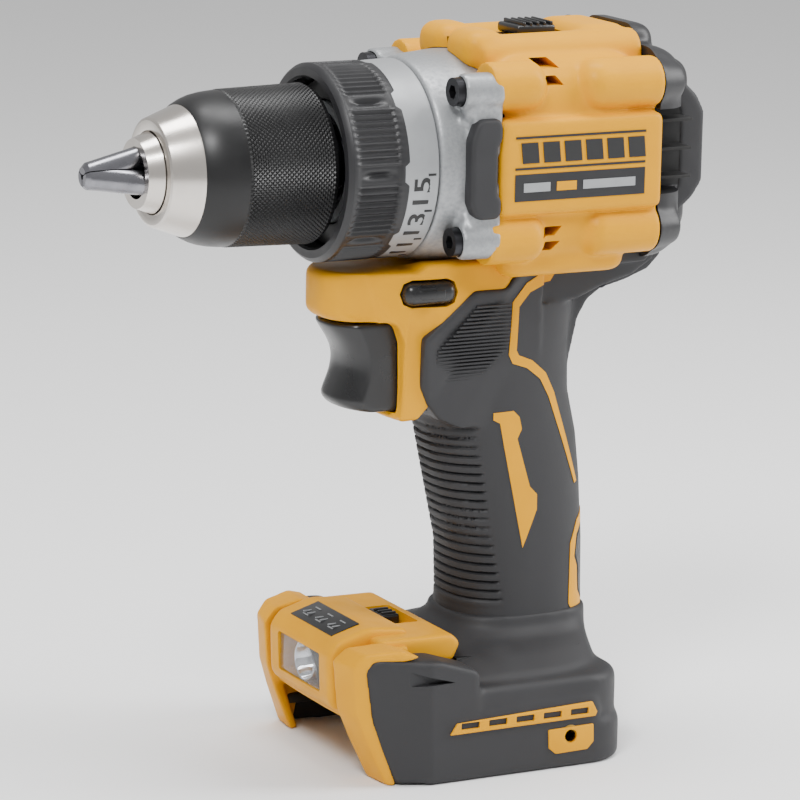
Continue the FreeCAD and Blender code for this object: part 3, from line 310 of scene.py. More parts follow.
# %% [markdown]
# Finishes come next. Every colour is written as the hex value a designer would quote and
# made linear by one function. Patterns read Object coordinates, so their scale is set by
# the size of a grain on the real surface.


# %% Helpers for materials
def linear(hex_colour):
    """An sRGB hex colour as linear red, green, blue and alpha."""
    values = [int(hex_colour[i:i + 2], 16) / 255 for i in (1, 3, 5)]
    return [v / 12.92 if v <= 0.04045 else ((v + 0.055) / 1.055) ** 2.4 for v in values] + [1.0]


def node(tree, kind, inputs=(), **props):
    """Adds one node, sets its properties and its inputs, and links what is a socket."""
    made = tree.nodes.new(kind)
    for key, value in props.items():
        setattr(made, key, value)
    for key, value in dict(inputs).items():
        if isinstance(value, bpy.types.NodeSocket):
            tree.links.new(value, made.inputs[key])
        else:
            made.inputs[key].default_value = value
    return made


def finish_of(name, hex_colour, rough, metal=0.0, grain_mm=0.5, grain=0.05, tint="#000000", mottle=0.0,
              mottle_mm=8.0, rough_swing=0.06, specular=0.5):
    """Moulded or machined surface: fine grain, broad mottling and uneven gloss."""
    material = bpy.data.materials.new(name)
    material.use_nodes = True
    tree = material.node_tree
    shader = tree.nodes["Principled BSDF"]
    shader.inputs["Metallic"].default_value = metal
    shader.inputs["Specular IOR Level"].default_value = specular
    place = node(tree, "ShaderNodeTexCoord").outputs["Object"]
    fine = node(tree, "ShaderNodeTexNoise", {"Vector": place, "Scale": 1 / (grain_mm * MM), "Detail": 2.0})
    broad = node(tree, "ShaderNodeTexNoise", {"Vector": place, "Scale": 1 / (mottle_mm * MM), "Detail": 5.0})
    blend = node(tree, "ShaderNodeMapRange", {"Value": broad.outputs["Fac"], "From Min": 0.35, "From Max": 0.7,
                                              "To Min": 0.0, "To Max": mottle})
    colour = node(tree, "ShaderNodeMixRGB", {"Fac": blend.outputs["Result"], "Color1": linear(hex_colour),
                                             "Color2": linear(tint)})
    tree.links.new(colour.outputs["Color"], shader.inputs["Base Color"])
    gloss = node(tree, "ShaderNodeMapRange", {"Value": broad.outputs["Fac"], "From Min": 0.3, "From Max": 0.7,
                                              "To Min": rough - rough_swing, "To Max": rough + rough_swing})
    tree.links.new(gloss.outputs["Result"], shader.inputs["Roughness"])
    bump = node(tree, "ShaderNodeBump", {"Height": fine.outputs["Fac"], "Strength": grain, "Distance": 0.1 * MM})
    tree.links.new(bump.outputs["Normal"], shader.inputs["Normal"])
    return material


# %% [markdown]
# The drill is mostly two plastics: a glass-filled nylon in safety yellow and a soft
# charcoal overmould. The metals run from bright turned steel to a mottled die casting.

# %% Materials
# Glass-filled nylon from an eroded mould: satin, with an even fine grain.
YELLOW = finish_of("yellow nylon", "#DC9A00", 0.42, grain_mm=0.35, grain=0.10, tint="#D28F00", mottle=0.35,
                   specular=0.12)
# Thermoplastic rubber moulded over the nylon: duller, its grain deeper.
RUBBER = finish_of("charcoal overmould", "#262628", 0.60, grain_mm=0.30, grain=0.22, tint="#2E2E30", mottle=0.6,
                   specular=0.4)
# The same nylon in charcoal: a soft sheen along every edge.
CHARCOAL = finish_of("charcoal nylon", "#1F1F21", 0.44, grain_mm=0.30, grain=0.12, tint="#272729", mottle=0.5,
                     specular=0.45)
# Acetal, which slides without grease: smooth and a little waxy.
BLACK = finish_of("black acetal", "#161617", 0.33, grain_mm=0.4, grain=0.04, tint="#1E1E1F", mottle=0.4)
# Nylon from a polished mould: a narrower, brighter highlight.
TRIGGER_BLACK = finish_of("polished black nylon", "#19191A", 0.30, grain_mm=0.4, grain=0.03, tint="#202021",
                          mottle=0.4)
# Painted shade: near-black plastic set inside the vents and behind the lamp window, where little light returns.
PAINTED_SHADE = finish_of("shadow black", "#060606", 0.70, grain_mm=0.5, grain=0.05)
# Rubber with a moulded pebble about a millimetre across.
GRAINED = finish_of("pebbled rubber", "#3A3A3C", 0.55, grain_mm=0.9, grain=0.9, tint="#1C1C1E", mottle=0.5,
                    mottle_mm=1.2)
# Die-cast alloy, tumbled: mid grey, with a mottled and sparkling gloss.
CAST = finish_of("die-cast alloy", "#9EA0A2", 0.44, metal=0.5, grain_mm=0.55, grain=0.55, tint="#85888A",
                 mottle=0.6, mottle_mm=1.1, rough_swing=0.1)
# Metallic paint on the number ring: satin flakes under a thin binder.
SILVER = finish_of("silver paint", "#A3A5A7", 0.42, metal=0.45, grain_mm=0.3, grain=0.10, tint="#96989A",
                   mottle=0.7)
# Steel turned and polished: bright, faintly warm, nearly a mirror.
STEEL = finish_of("turned bright steel", "#D8D2CB", 0.21, metal=1.0, grain_mm=0.2, grain=0.03, tint="#C4BDB6",
                  mottle=0.4, rough_swing=0.04)
# Hardened tool steel, ground: cooler and darker than turned steel.
JAW_STEEL = finish_of("ground tool steel", "#8B8B90", 0.24, metal=1.0, grain_mm=0.2, grain=0.05, tint="#6C6C72",
                      mottle=0.6, mottle_mm=4.0)
# Steel with a black oxide: dark, with an oily gloss.
DARK_STEEL = finish_of("blackened steel", "#38383B", 0.36, metal=0.9, grain_mm=0.3, grain=0.08, tint="#1E1E20",
                       mottle=0.6)
# Aluminium, knurled and black anodised: deep, with a soft metallic gloss.
ANODISED = finish_of("black anodised sleeve", "#161617", 0.40, metal=0.25, grain_mm=0.25, grain=0.06,
                     tint="#1C1C1D", mottle=0.4)
# Machined brass, as in threaded inserts: yellow, slightly dulled.
BRASS = finish_of("brass", "#B08B3E", 0.30, metal=1.0, grain_mm=0.3, grain=0.05, tint="#8F6E2C", mottle=0.5)
# Winding wire under clear enamel: orange, glossy, never quite even.
COPPER = finish_of("enamelled copper", "#B4632D", 0.32, metal=0.9, grain_mm=0.4, grain=0.2, tint="#8A4519",
                   mottle=0.5)
# Punched steel sheets stacked into a core: grey, finely uneven.
LAMINATE = finish_of("stacked laminations", "#55565A", 0.45, metal=0.9, grain_mm=0.3, grain=0.3, tint="#3B3C40",
                     mottle=0.5)
# Glass-fibre board under green solder mask: smooth and half glossy.
BOARD = finish_of("green circuit board", "#1F5A35", 0.40, grain_mm=0.4, grain=0.05, tint="#174528", mottle=0.5)
# Plated plastic bowl: the sharpest reflection on the tool.
CHROME = finish_of("plated reflector", "#DDDDDF", 0.12, metal=1.0, grain_mm=0.6, grain=0.05, tint="#B5B5B8",
                   mottle=0.3)
# Pad-printed ink: flat black that hides the surface under it.
INK = finish_of("printed ink", "#1A1A1B", 0.48, grain_mm=0.4, grain=0.03)
print("materials", len(bpy.data.materials))

# %% [markdown]
# The lamp's lens needs light to pass through it. A Principled shader with high
# transmission does that without a second kind of material.

# %% Clear lens
# Polycarbonate from a polished mould. Its IOR is kept below the real 1.58, so that the
# bowl behind isn't lost in reflections.
LENS = bpy.data.materials.new("clear lens")
LENS.use_nodes = True
lens_shader = LENS.node_tree.nodes["Principled BSDF"]
lens_shader.inputs["Base Color"].default_value = linear("#F2F4F6")
lens_shader.inputs["Roughness"].default_value = 0.05
lens_shader.inputs["Transmission Weight"].default_value = 0.95
lens_shader.inputs["IOR"].default_value = 1.2

# %% [markdown]
# Parts that the engineering model already draws well only need their finish.

# %% Finish the carried-over parts
SLOT_FINISH = {
    "steel_bright": STEEL, "steel_dark": DARK_STEEL, "steel_hardened": JAW_STEEL, "sleeve_black": ANODISED,
    "collar_charcoal": CHARCOAL, "number_silver": SILVER, "cast_alloy": CAST, "yellow_plastic": YELLOW,
    "rubber_charcoal": RUBBER, "black_plastic": BLACK, "gloss_black": TRIGGER_BLACK, "lens_clear": LENS,
    "reflector": CHROME, "brass": BRASS, "copper": COPPER, "lamination": LAMINATE, "nylon": BOARD,
}
for part in frame["record"]["subparts"]:
    mesh = frame["nodes"][part["node"]].data
    mesh.materials.clear()
    mesh.materials.append(SLOT_FINISH[part["material_slot"]])
for name in ("cooling_fan", "clutch_nut"):
    frame["nodes"][name].data.materials[0] = BLACK

# %% [markdown]
# The clutch spring is wound steel wire behind the clutch nut. A tighter torque setting drives the nut back, so
# the spring shortens with the collar; here it keeps the length of the engineering model.

# %% Clutch spring
spring = bpy.data.objects.new("clutch_spring_coil", frame["nodes"]["clutch_spring"].data.copy())
bpy.context.scene.collection.objects.link(spring)
bm = opened(spring.data)
bmesh.ops.remove_doubles(bm, verts=bm.verts[:], dist=0.001 * MM)
closed(bm, spring.data)
done(spring, "housing", STEEL, "clutch_spring")
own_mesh(spring)

# %% [markdown]
# The nose of the chuck is turned steel: a cone with a flat face, polished on a lathe.
# A spin of its half section is the bmesh twin of turning.

# %% Chuck nose cone
bm = bmesh.new()
turned_profile(bm, [(-19.1, 11.1), (-18.9, 11.6), (-18.9, 13.7), (-19.3, 14.4), (-27.0, 17.3), (-27.5, 17.45),
                    (-28.6, 17.2), (-32.0, 16.6), (-32.0, 14.1), (-20.8, 14.1), (-20.8, 11.1)], segments=160)
done(raw_object("nose_cone", bm), "sleeve_group", STEEL, "chuck_nose_ring", angle=25)

# %% [markdown]
# The sleeve has a smooth shoulder and a diamond knurl. A knurl is a grid whose alternate
# points stand proud, so a spun tube with one raised vertex in two makes real pyramids.

# %% Knurled sleeve
KNURL_HEIGHT = 0.42
KNURL_START, KNURL_END = -38.6, -63.2
KNURL_ROWS, KNURL_STEPS = 36, 200
bm = bmesh.new()
turned_profile(bm, [(-27.5, 16.9), (-27.4, 17.6), (-28.0, 18.1), (-30.0, 19.1), (-32.0, 19.8), (-34.5, 20.3),
                    (-37.5, 20.6), (KNURL_START, 20.65), (KNURL_START, 19.0), (-34.2, 17.4), (-34.2, 16.9)],
               segments=160)
done(raw_object("sleeve_shoulder", bm), "sleeve_group", ANODISED, "chuck_sleeve", angle=30)
bm = bmesh.new()
outer = []
for row in range(KNURL_ROWS + 1):
    x = KNURL_START + (KNURL_END - KNURL_START) * row / KNURL_ROWS
    outer.append((x, 20.45 + 0.6 * row / KNURL_ROWS))
rim = [(KNURL_END - 0.5, 20.9), (KNURL_END - 0.6, 18.8), (KNURL_START, 18.8)]
turned_profile(bm, outer + rim, segments=KNURL_STEPS)
raised = set()
for v in bm.verts:
    row = (v.co.x - KNURL_START) / (KNURL_END - KNURL_START) * KNURL_ROWS
    radius = math.hypot(v.co.y, v.co.z)
    if radius > 20.3 and 0.5 < row < KNURL_ROWS - 0.5:
        step = math.atan2(v.co.y, v.co.z) / (2 * math.pi) * KNURL_STEPS
        if (round(row) + round(step)) % 2 == 0:
            grow = (radius + KNURL_HEIGHT) / radius
            v.co.y *= grow
            v.co.z *= grow
            raised.add(v)
for face in bm.faces[:]:
    low = [v for v in face.verts if v not in raised]
    if len(low) == 2 and len(face.verts) == 4:
        bmesh.utils.face_split(face, *low)
knurl = done(raw_object("sleeve_knurl", bm), "sleeve_group", ANODISED, angle=8)
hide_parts("chuck_sleeve")

# %% [markdown]
# The torque collar is gripped between finger and thumb: lobes with fine axial ribs, and a
# long dimple between each two. The ring is spun fine, and one radius formula shapes it.

# %% Torque collar
LOBES, RIBS_PER_LOBE = 8, 11.25
COLLAR_RADIUS = 26.55
COLLAR_STEPS = LOBES * 90


def collar_radius(x, turn):
    """Outer radius of the collar at a station and an angle in lobes."""
    across = (turn % 1.0) - 0.5
    lobe = share((0.40 - abs(across)) / 0.05)
    along = share((-66.4 - x) / 1.2) * share((x + 79.4) / 0.8)
    rib = 0.5 - 0.5 * math.cos(2 * math.pi * across * RIBS_PER_LOBE)
    dimple = math.exp(-((abs(across) - 0.5) / 0.045) ** 2) * math.exp(-((x + 73.0) / 4.2) ** 4)
    return COLLAR_RADIUS - 0.75 * along * lobe * rib ** 0.6 - 1.3 * dimple - 0.5 * (1 - lobe) * along


bm = bmesh.new()
stations = [-65.6 - 0.62 * i for i in range(24)]
profile = [(-65.2, 22.6), (-64.3, 23.2), (-64.3, 25.3), (-64.9, 26.1)] + [(x, COLLAR_RADIUS) for x in stations]
profile += [(-80.4, 26.4), (-80.4, 26.32), (-79.7, 26.32), (-79.7, 22.6)]
turned_profile(bm, profile, segments=COLLAR_STEPS)
for v in bm.verts:
    radius = math.hypot(v.co.y, v.co.z)
    turn = math.atan2(v.co.y, v.co.z) / (2 * math.pi) * LOBES
    across = abs((turn % 1.0) - 0.5)
    if radius > 26.5 and v.co.x < -65.3:
        grow = collar_radius(v.co.x, turn) / radius
        v.co.y *= grow
        v.co.z *= grow
    if v.co.x < -79.0:
        v.co.x -= 1.3 * share((0.40 - across) / 0.05) * (v.co.x < -79.9)
done(raw_object("torque_collar_ribbed", bm), "collar_group", CHARCOAL, "torque_collar", angle=30)

# %% [markdown]
# The number ring is a silver band. Its torque numbers are text made into a mesh and
# wrapped on the ring, so they read round it.

# %% Number ring
NUMBER_RADIUS = 26.3
NUMBER_STEP = 22
FIRST_NUMBER = 102 + 7 * NUMBER_STEP
bm = bmesh.new()
turned_profile(bm, [(-79.7, 23.3), (-79.7, NUMBER_RADIUS - 0.2), (-79.9, NUMBER_RADIUS),
                    (-90.0, NUMBER_RADIUS + 0.35), (-90.3, NUMBER_RADIUS + 0.1), (-90.3, 23.3)], segments=180)
done(raw_object("number_band", bm), "collar_group", SILVER, "torque_number_ring")


def wrapped_text(name, words, size, x, angle, radius, lift, tall=1.0):
    """Text laid on the ring at one angle, standing across it and reading round it."""
    curve = bpy.data.curves.new(name, "FONT")
    curve.body = words
    curve.size = size
    curve.align_x = "CENTER"
    curve.align_y = "CENTER"
    curve.extrude = 0.12
    curve.offset = 0.14
    made = bpy.data.objects.new(name, curve)
    bpy.context.scene.collection.objects.link(made)
    graph = bpy.context.evaluated_depsgraph_get()
    mesh = bpy.data.meshes.new_from_object(made.evaluated_get(graph))
    bpy.data.objects.remove(made)
    bm = opened(mesh)
    bmesh.ops.subdivide_edges(bm, edges=bm.edges[:], cuts=2, use_grid_fill=True)
    for v in bm.verts:
        across, up, out = v.co.x, v.co.y * tall, v.co.z
        turn = angle - across / radius
        reach = radius + lift + out
        v.co = Vector((x + up, reach * math.sin(turn), reach * math.cos(turn)))
    bmesh.ops.recalc_face_normals(bm, faces=bm.faces[:])
    return raw_object(name, bm)


for i, words in enumerate(("1", "3", "5", "7", "9", "11", "13", "15")):
    turn = math.radians(FIRST_NUMBER - NUMBER_STEP * i)
    digits = wrapped_text("torque_number_" + words, words, 9.6, -85.9, turn, NUMBER_RADIUS, 0.15, 0.72)
    done(digits, "collar_group", INK)
bm = bmesh.new()
for i in range(9):
    turn = math.radians(FIRST_NUMBER - NUMBER_STEP * i + NUMBER_STEP / 2)
    place = Matrix.Rotation(-turn, 4, "X") @ Matrix.Translation((-88.2, 0, NUMBER_RADIUS + 0.3))
    bmesh.ops.create_cube(bm, size=1.0, matrix=place @ Matrix.Diagonal((2.2, 0.6, 0.22, 1)))
ticks = done(raw_object("torque_ticks", bm), "collar_group", INK)

# %% [markdown]
# The gear case is a casting: a flaring ring with four screw ears. Ring and ears are
# melted together so that they blend as cast metal does.

# %% Gear case casting
SPIGOT_RADIUS = 28.9
EARS = [(y, z) for y in (26.0, -26.0) for z in (21.0, -19.0)]
bm = bmesh.new()
turned_profile(bm, [(-90.6, 20.0), (-90.6, 26.6), (-91.4, 27.2), (-96.0, 27.9), (-104.0, 28.7), (-108.2, 28.7),
                    (-108.2, 20.0)], segments=96)
for y, z in EARS:
    side, rise = math.copysign(1, y), math.copysign(1, z)
    solid_rod(bm, (-96.2, y, z), (-107.5, y + side, z), 4.9)
    solid_rod(bm, (-97.5, y * 0.86, z * 0.86), (-107.5, y * 0.9, z * 0.9), 6.4)
    solid_slab(bm, [(-99.5, z * 0.2), (-107.5, z * 0.2), (-107.5, z + 3 * rise), (-98.5, z + 2 * rise)],
               side * 22.0, side * 29.6)
gear_cast = raw_object("gear_case_casting", bm)
melt(gear_cast, 0.65, 6)
bm = bmesh.new()
for y, z in EARS:
    solid_rod(bm, (-85, y, z), (-97.0, y, z), 4.05, segments=32)
    solid_rod(bm, (-85, y, z), (-112, y, z), 2.3, segments=24)
solid_rod(bm, (-91.8, 0, 0), (-120, 0, 0), 26.2, segments=96)
solid_rod(bm, (-80, 0, 0), (-120, 0, 0), 22.0, segments=96)
carve(gear_cast, bm)
done(gear_cast, "housing", CAST, "gear_case")

# %% [markdown]
# In front of the ring the casting closes to a wall and a short tube that carries the
# spindle. Both are round, so one spun profile is enough.

# %% Gear case front wall and snout
bm = bmesh.new()
turned_profile(bm, [(-69.0, 14.1), (-69.0, 16.2), (-86.0, 16.4), (-86.0, 22.7), (-91.7, 22.7), (-91.7, 9.8),
                    (-84.0, 9.8), (-78.1, 9.8), (-78.1, 14.1)], segments=96)
gear_snout = done(raw_object("gear_case_snout", bm), "housing", CAST)

# %% [markdown]
# The motor housing is the yellow heart of the tool: a rounded barrel with a rail along
# its top, round bosses over the screws at its corners and a flat panel for the maker's
# plate. The solids overlap and are melted into one moulding.

# %% Motor housing
BARREL = (-156.0, -105.5)
BARREL_BORE = 27.0
WELL = 11.9
bm = bmesh.new()
solid_box(bm, BARREL, (-27.6, 27.6), (-28.5, 29.0), bevel=12, segments=6)
solid_box(bm, (-155.9, -106.5), (-31.2, 31.2), (-12.5, 13.2), bevel=1.6)
solid_box(bm, (-150.0, -112.0), (-24.0, 24.0), (-31.0, -10.0), bevel=4)
for side in (1, -1):
    for start, end, y, z, radius, flat in ((-104.2, -116.5, 24.9, 21.6, 6.6, 0.8),
                                           (-155.9, -137.5, 24.7, 20.9, 6.9, 0.9),
                                           (-104.2, -117.0, 24.8, -19.2, 6.8, 0.8),
                                           (-155.9, -139.0, 24.4, -18.8, 6.8, 0.8)):
        solid_rod(bm, (start, side * y, z), (end, side * y, z), radius)
        solid_ball(bm, (end, side * y, z), radius, (flat, 1, 1))
    solid_rod(bm, (-108.0, side * 11.5, 27.2), (-155.9, side * 12.5, 27.6), 6.2)
    solid_box(bm, (-116.5, -104.0), about(side * 8, 8), (24.0, 34.9), bevel=4.5, segments=5)
solid_box(bm, (-155.9, -138.5), (-13.5, 13.5), (24.0, 34.8), bevel=4.5, segments=5)
solid_box(bm, (-150.0, -110.0), (-12.0, 12.0), (24.0, 31.4), bevel=2)
barrel = raw_object("motor_housing", bm)
melt(barrel, 0.7, 4)
bm = bmesh.new()
solid_rod(bm, (-107.9, 0, 0), (-160, 0, 0), BARREL_BORE, segments=96)
solid_rod(bm, (-100, 0, 0), (-119.5, 0, 0), SPIGOT_RADIUS, segments=96)
solid_box(bm, (-138.3, -117.2), (-6.6, 6.6), (29.6, 40.0), bevel=1.5)
solid_box(bm, (-139.5, -113.0), (-5.8, 5.8), (24.0, 32.4))
for y, z in EARS:
    solid_rod(bm, (-100, y, z), (-118.5, y, z), 2.4, segments=20)
carve(barrel, bm)
bm = bmesh.new()
for z, lean in ((26.8, 1.0), (22.6, 1.0), (-17.6, -1.0), (-21.8, -1.0)):
    outline = [(-120.6 - lean, z - 1.25), (-126.0 - lean, z - 1.25), (-126.0 + lean, z + 1.25),
               (-120.6 + lean, z + 1.25)]
    solid_slab(bm, outline, -60, 60)
carve(barrel, bm)
done(barrel, "housing", YELLOW, "housing_left", "housing_right", angle=35)

# %% [markdown]
# Flat inlays, such as the plate on the side, the yellow flashes on the grip and the vents,
# lie on curved mouldings. Each is the moulding's own skin, grown by a hair and cut to an
# outline, so it follows the surface exactly.


# %% Helper for inlays
def inlay(name, base, outline, proud, side, material, body="housing", bevel=0.0):
    """Slice of a moulding's skin inside an outline, standing proud by a small height."""
    mesh = base.data.copy()
    bm = opened(mesh)
    bm.normal_update()
    moved = [v.co + v.normal * proud * MM for v in bm.verts]
    for v, place in zip(bm.verts, moved):
        v.co = place
    closed(bm, mesh)
    made = bpy.data.objects.new(name, mesh)
    bpy.context.scene.collection.objects.link(made)
    bm = bmesh.new()
    inner, outer_y = (6.0, 60.0) if side > 0 else (-60.0, -6.0)
    solid_slab(bm, outline, inner, outer_y, bevel)
    carve(made, bm, "INTERSECT")
    piece = done(made, body, material)
    return piece


# %% [markdown]
# A printed plate runs along each side of the barrel. Lettering is left out: plain blocks
# and dashes keep its rhythm. Six blocks come from one loop.

# %% Side plates
for side, word in ((1, "left"), (-1, "right")):
    strip = [(-110.4, -1.2), (-150.0, -1.2), (-150.0, -8.4), (-110.4, -8.4)]
    inlay("side_plate_" + word, barrel, strip, 0.16, side, CHARCOAL)
    for i, z in enumerate((8.6, 0.3)):
        inlay("side_line_%s_%d" % (word, i + 1), barrel,
              [(-110.4, z + 0.3), (-150.0, z + 0.3), (-150.0, z - 0.3), (-110.4, z - 0.3)], 0.2, side, INK)
    for i in range(6):
        x = -112.0 - 6.5 * i
        block = [(x, 7.2), (x - 5.0, 7.2), (x - 5.6, 1.7), (x - 0.6, 1.7)]
        inlay("side_block_%s_%d" % (word, i + 1), barrel, block, 0.24, side, INK)
    for i, (x0, x1) in enumerate(((-113.0, -121.0), (-123.0, -129.0), (-131.0, -147.0))):
        dash = [(x0, -3.6), (x1, -3.6), (x1, -6.0), (x0, -6.0)]
        inlay("side_dash_%s_%d" % (word, i + 1), barrel, dash, 0.26, side, SILVER if i != 1 else YELLOW)

# %% [markdown]
# Behind the barrel sits the charcoal cap with a dark vent on each side and a rubber
# bumper that takes the knocks.

# %% Rear cap
bm = bmesh.new()
solid_box(bm, (-166.5, -140.0), (-28.2, 28.2), (-28.0, 29.6), bevel=9, segments=6)
solid_box(bm, (-172.8, -150.0), (-18.5, 18.5), (-24.0, 25.5), bevel=6, segments=5)
solid_box(bm, (-163.5, -145.0), (-13.4, 13.4), (20.0, 34.6), bevel=4.5, segments=5)
for side in (1, -1):
    for z in (20.6, -18.8):
        solid_rod(bm, (-154.0, side * 24.5, z), (-163.5, side * 23.4, z), 6.9, 5.2)
cap = raw_object("rear_cap_moulding", bm)
melt(cap, 0.75, 6)
bm = bmesh.new()
for side in (1, -1):
    solid_box(bm, (-169.5, -155.0), about(side * 27, 9), (-9.5, 13.5), bevel=1.0)
solid_rod(bm, (-150, 0, 0), (-160, 0, 0), 25.5, segments=64)
solid_rod(bm, (-150, 0, 0), (-170, 0, 0), 15.0, segments=64)
solid_box(bm, (-156.05, -100.0), (-60.0, 60.0), (-60.0, 60.0))
carve(cap, bm)
done(cap, "housing", CHARCOAL, "rear_cap", angle=35)

# %% [markdown]
# Behind each side opening stand three fins and a back wall, moulded in one with the cap on the real tool. Here
# they are thin bevelled boxes in near-black, painted shade that reads as depth inside the openings.

# %% Vent fins behind the side openings
bm = bmesh.new()
for side in (1, -1):
    solid_box(bm, (-168.5, -156.2), about(side * 17.6, 0.6), (-9.4, 13.4))
    for z in (9.8, 2.0, -5.8):
        solid_box(bm, (-168.5, -157.5), about(side * 21.2, 3.4), about(z, 0.45), bevel=0.2)
# Near-black fins and back wall: painted shade inside the vent openings.
fins = done(raw_object("vent_fins", bm), "housing", PAINTED_SHADE)

# %% [markdown]
# Soft pads take the knocks at the back and beside the gear case. Each is one outline
# extruded across the tool and melted, which rounds every edge like moulded rubber.

# %% Rear bumper and side pads
bm = bmesh.new()
bumper_outline = [(-164.5, 16.0), (-168.5, 20.0), (-173.5, 15.5), (-176.0, 11.0), (-176.0, -8.5), (-173.0, -13.0),
                  (-168.5, -16.5), (-164.5, -13.0), (-168.0, -9.0), (-168.0, 11.5)]
solid_slab(bm, bumper_outline, -18.5, 18.5, bevel=0.6)
bumper = raw_object("rear_bumper_pad", bm)
melt(bumper, 0.6, 3)
done(bumper, "housing", RUBBER, "bumpers", angle=40)
bm = bmesh.new()
pad_outline = [(-97.2, 8.5), (-98.8, 12.6), (-100.2, 14.0), (-105.6, 14.0), (-106.6, 12.6), (-106.6, 8.0),
               (-105.4, 6.6), (-105.4, -6.0), (-106.6, -7.4), (-106.6, -11.4), (-105.4, -12.8), (-100.2, -12.8),
               (-98.6, -11.6), (-97.2, -8.5)]
for side in (1, -1):
    solid_slab(bm, pad_outline, side * 27.0, side * 31.6, bevel=0.9)
side_pads = raw_object("side_pads", bm)
melt(side_pads, 0.5, 3)
done(side_pads, "housing", RUBBER, angle=40)

# %% [markdown]
# Below the gear case the yellow moulding carries the trigger. It narrows to the front and
# runs down behind the trigger as a guard.

# %% Trigger housing
bm = bmesh.new()
nose = [(-66.8, -30.0), (-68.5, -28.6), (-90.0, -28.6), (-93.0, -26.5), (-122.0, -26.5), (-115.5, -35.0),
        (-106.5, -35.2), (-98.0, -45.0), (-97.0, -60.0), (-95.0, -66.0), (-91.5, -69.4), (-86.0, -69.6),
        (-84.2, -68.4), (-85.6, -66.5), (-85.8, -60.0), (-85.4, -48.0), (-83.0, -43.4), (-80.0, -42.2),
        (-68.5, -41.8), (-66.8, -40.0)]
verts = solid_slab(bm, nose, -1.0, 1.0)
for v in verts:
    half_width = 12.6 + 5.6 * share((-68.0 - v.co.x) / 26.0)
    if v.co.z < -50:
        half_width = 14.6
    if v.co.x > -68:
        half_width = 9.5
    v.co.y = math.copysign(half_width, v.co.y)
trigger_house = raw_object("trigger_housing", bm)
melt(trigger_house, 0.6, 6)
round_front(trigger_house, -66.8, 22.0, 12.6, 8.0)
bm = bmesh.new()
solid_box(bm, (-110.0, -76.0), (-WELL, WELL), (-67.4, -42.3))
solid_slab(bm, [(-101.2, -34.2), (-100.2, -31.4), (-98.0, -30.4), (-88.0, -30.4), (-85.8, -31.4), (-84.8, -34.2),
                (-85.8, -37.0), (-88.0, -38.0), (-98.0, -38.0), (-100.2, -37.0)], -60, 60)
solid_rod(bm, (-88, 0, 0), (-125, 0, 0), SPIGOT_RADIUS, segments=96)
carve(trigger_house, bm)
done(trigger_house, "housing", YELLOW, angle=35)

# %% [markdown]
# The trigger is a hollowed finger pull on a stem that runs back into the switch. Its front
# follows a sine curve, and its corners are drawn back so that a finger slides off them.

# %% Trigger
TRIGGER_HALF_WIDTH = 11.4
bm = bmesh.new()
finger = []
for i in range(13):
    t = i / 12
    finger.append((-69.2 - 4.6 * math.sin(math.pi * t) ** 1.2 - 2.2 * t, -43.2 - 21.0 * t))
finger += [(-73.4, -66.4), (-77.5, -67.0), (-91.8, -66.9), (-91.8, -42.5), (-71.0, -42.5)]
solid_slab(bm, finger, -TRIGGER_HALF_WIDTH, TRIGGER_HALF_WIDTH, bevel=0.3)
pull = raw_object("trigger_finger", bm)
melt(pull, 0.6, 5)
round_front(pull, -69.0, 16.0, TRIGGER_HALF_WIDTH, 5.5, 2.4)
bm = bmesh.new()
solid_box(bm, (-113.5, -90.0), (-2.4, 2.4), (-57.4, -52.6))
carve(pull, bm, "UNION")
done(pull, "trigger", TRIGGER_BLACK, "trigger", angle=35)

# %% [markdown]
# One bar passes through the housing and shows as an oval button on each side. It is one
# bevelled box with a raised pad on both ends.

# %% Direction lever
bm = bmesh.new()
solid_box(bm, (-100.6, -85.4), (-19.4, 19.4), (-37.3, -31.1), bevel=2.6, segments=5)
for side in (1, -1):
    solid_box(bm, (-97.0, -89.0), (side * 19.4 - 1.0, side * 19.4 + 0.1), (-35.6, -32.8), bevel=0.6)
done(raw_object("direction_button", bm), "direction_lever", TRIGGER_BLACK, "direction_lever", angle=40)

# %% [markdown]
# The slider on top changes the gear. Five ridges give the thumb a hold, repeated by a loop.

# %% Speed selector
bm = bmesh.new()
solid_box(bm, (-135.9, -124.1), (-5.9, 5.9), (31.9, 34.6), bevel=0.8)
for i in range(5):
    x = -125.6 - 2.1 * i
    solid_box(bm, (x - 1.2, x - 0.3), (-5.6, 5.6), (34.0, 35.5), bevel=0.35)
done(raw_object("speed_slider", bm), "speed_shift_group", BLACK, "speed_selector")

# %% [markdown]
# The grip is the overmould that the hand holds. It is lofted through rings, joined to the
# web under the barrel, melted, and its finger ribs are pressed in by moving vertices.

# %% Grip
RIB_PITCH, RIB_DEPTH = 2.55, 1.15


def throat_half_width(z):
    """Half width of the overmould behind the trigger, which spreads towards the barrel."""
    return 15.6 + 3.4 * share((z + 58.0) / 12.0)


bm = bmesh.new()
solid_loft(bm, [(-132.0, -128.2, 20.3, 17.5), (-122.0, -128.2, 20.0, 17.0), (-108.0, -127.8, 20.2, 16.8),
                (-91.0, -125.4, 21.8, 16.4), (-78.0, -123.2, 22.6, 16.0), (-66.0, -120.6, 22.4, 15.9),
                (-52.0, -120.5, 22.0, 16.0), (-40.0, -122.0, 22.0, 16.2)], power=2.5)
web = [(-108.0, -38.0), (-118.0, -24.5), (-157.0, -24.5), (-169.0, -25.5), (-169.3, -30.0), (-165.0, -34.0),
       (-158.0, -36.6), (-150.5, -38.4), (-146.4, -41.2), (-143.6, -46.0), (-141.8, -54.0), (-139.0, -66.0),
       (-120.0, -66.0)]
solid_slab(bm, web, -9.0, 9.0)
throat = [(-106.0, -34.2), (-116.0, -34.2), (-122.0, -26.0), (-128.0, -26.0), (-128.0, -74.0), (-104.0, -72.5),
          (-97.5, -69.5), (-94.0, -65.0), (-91.6, -60.0), (-91.4, -46.6)]
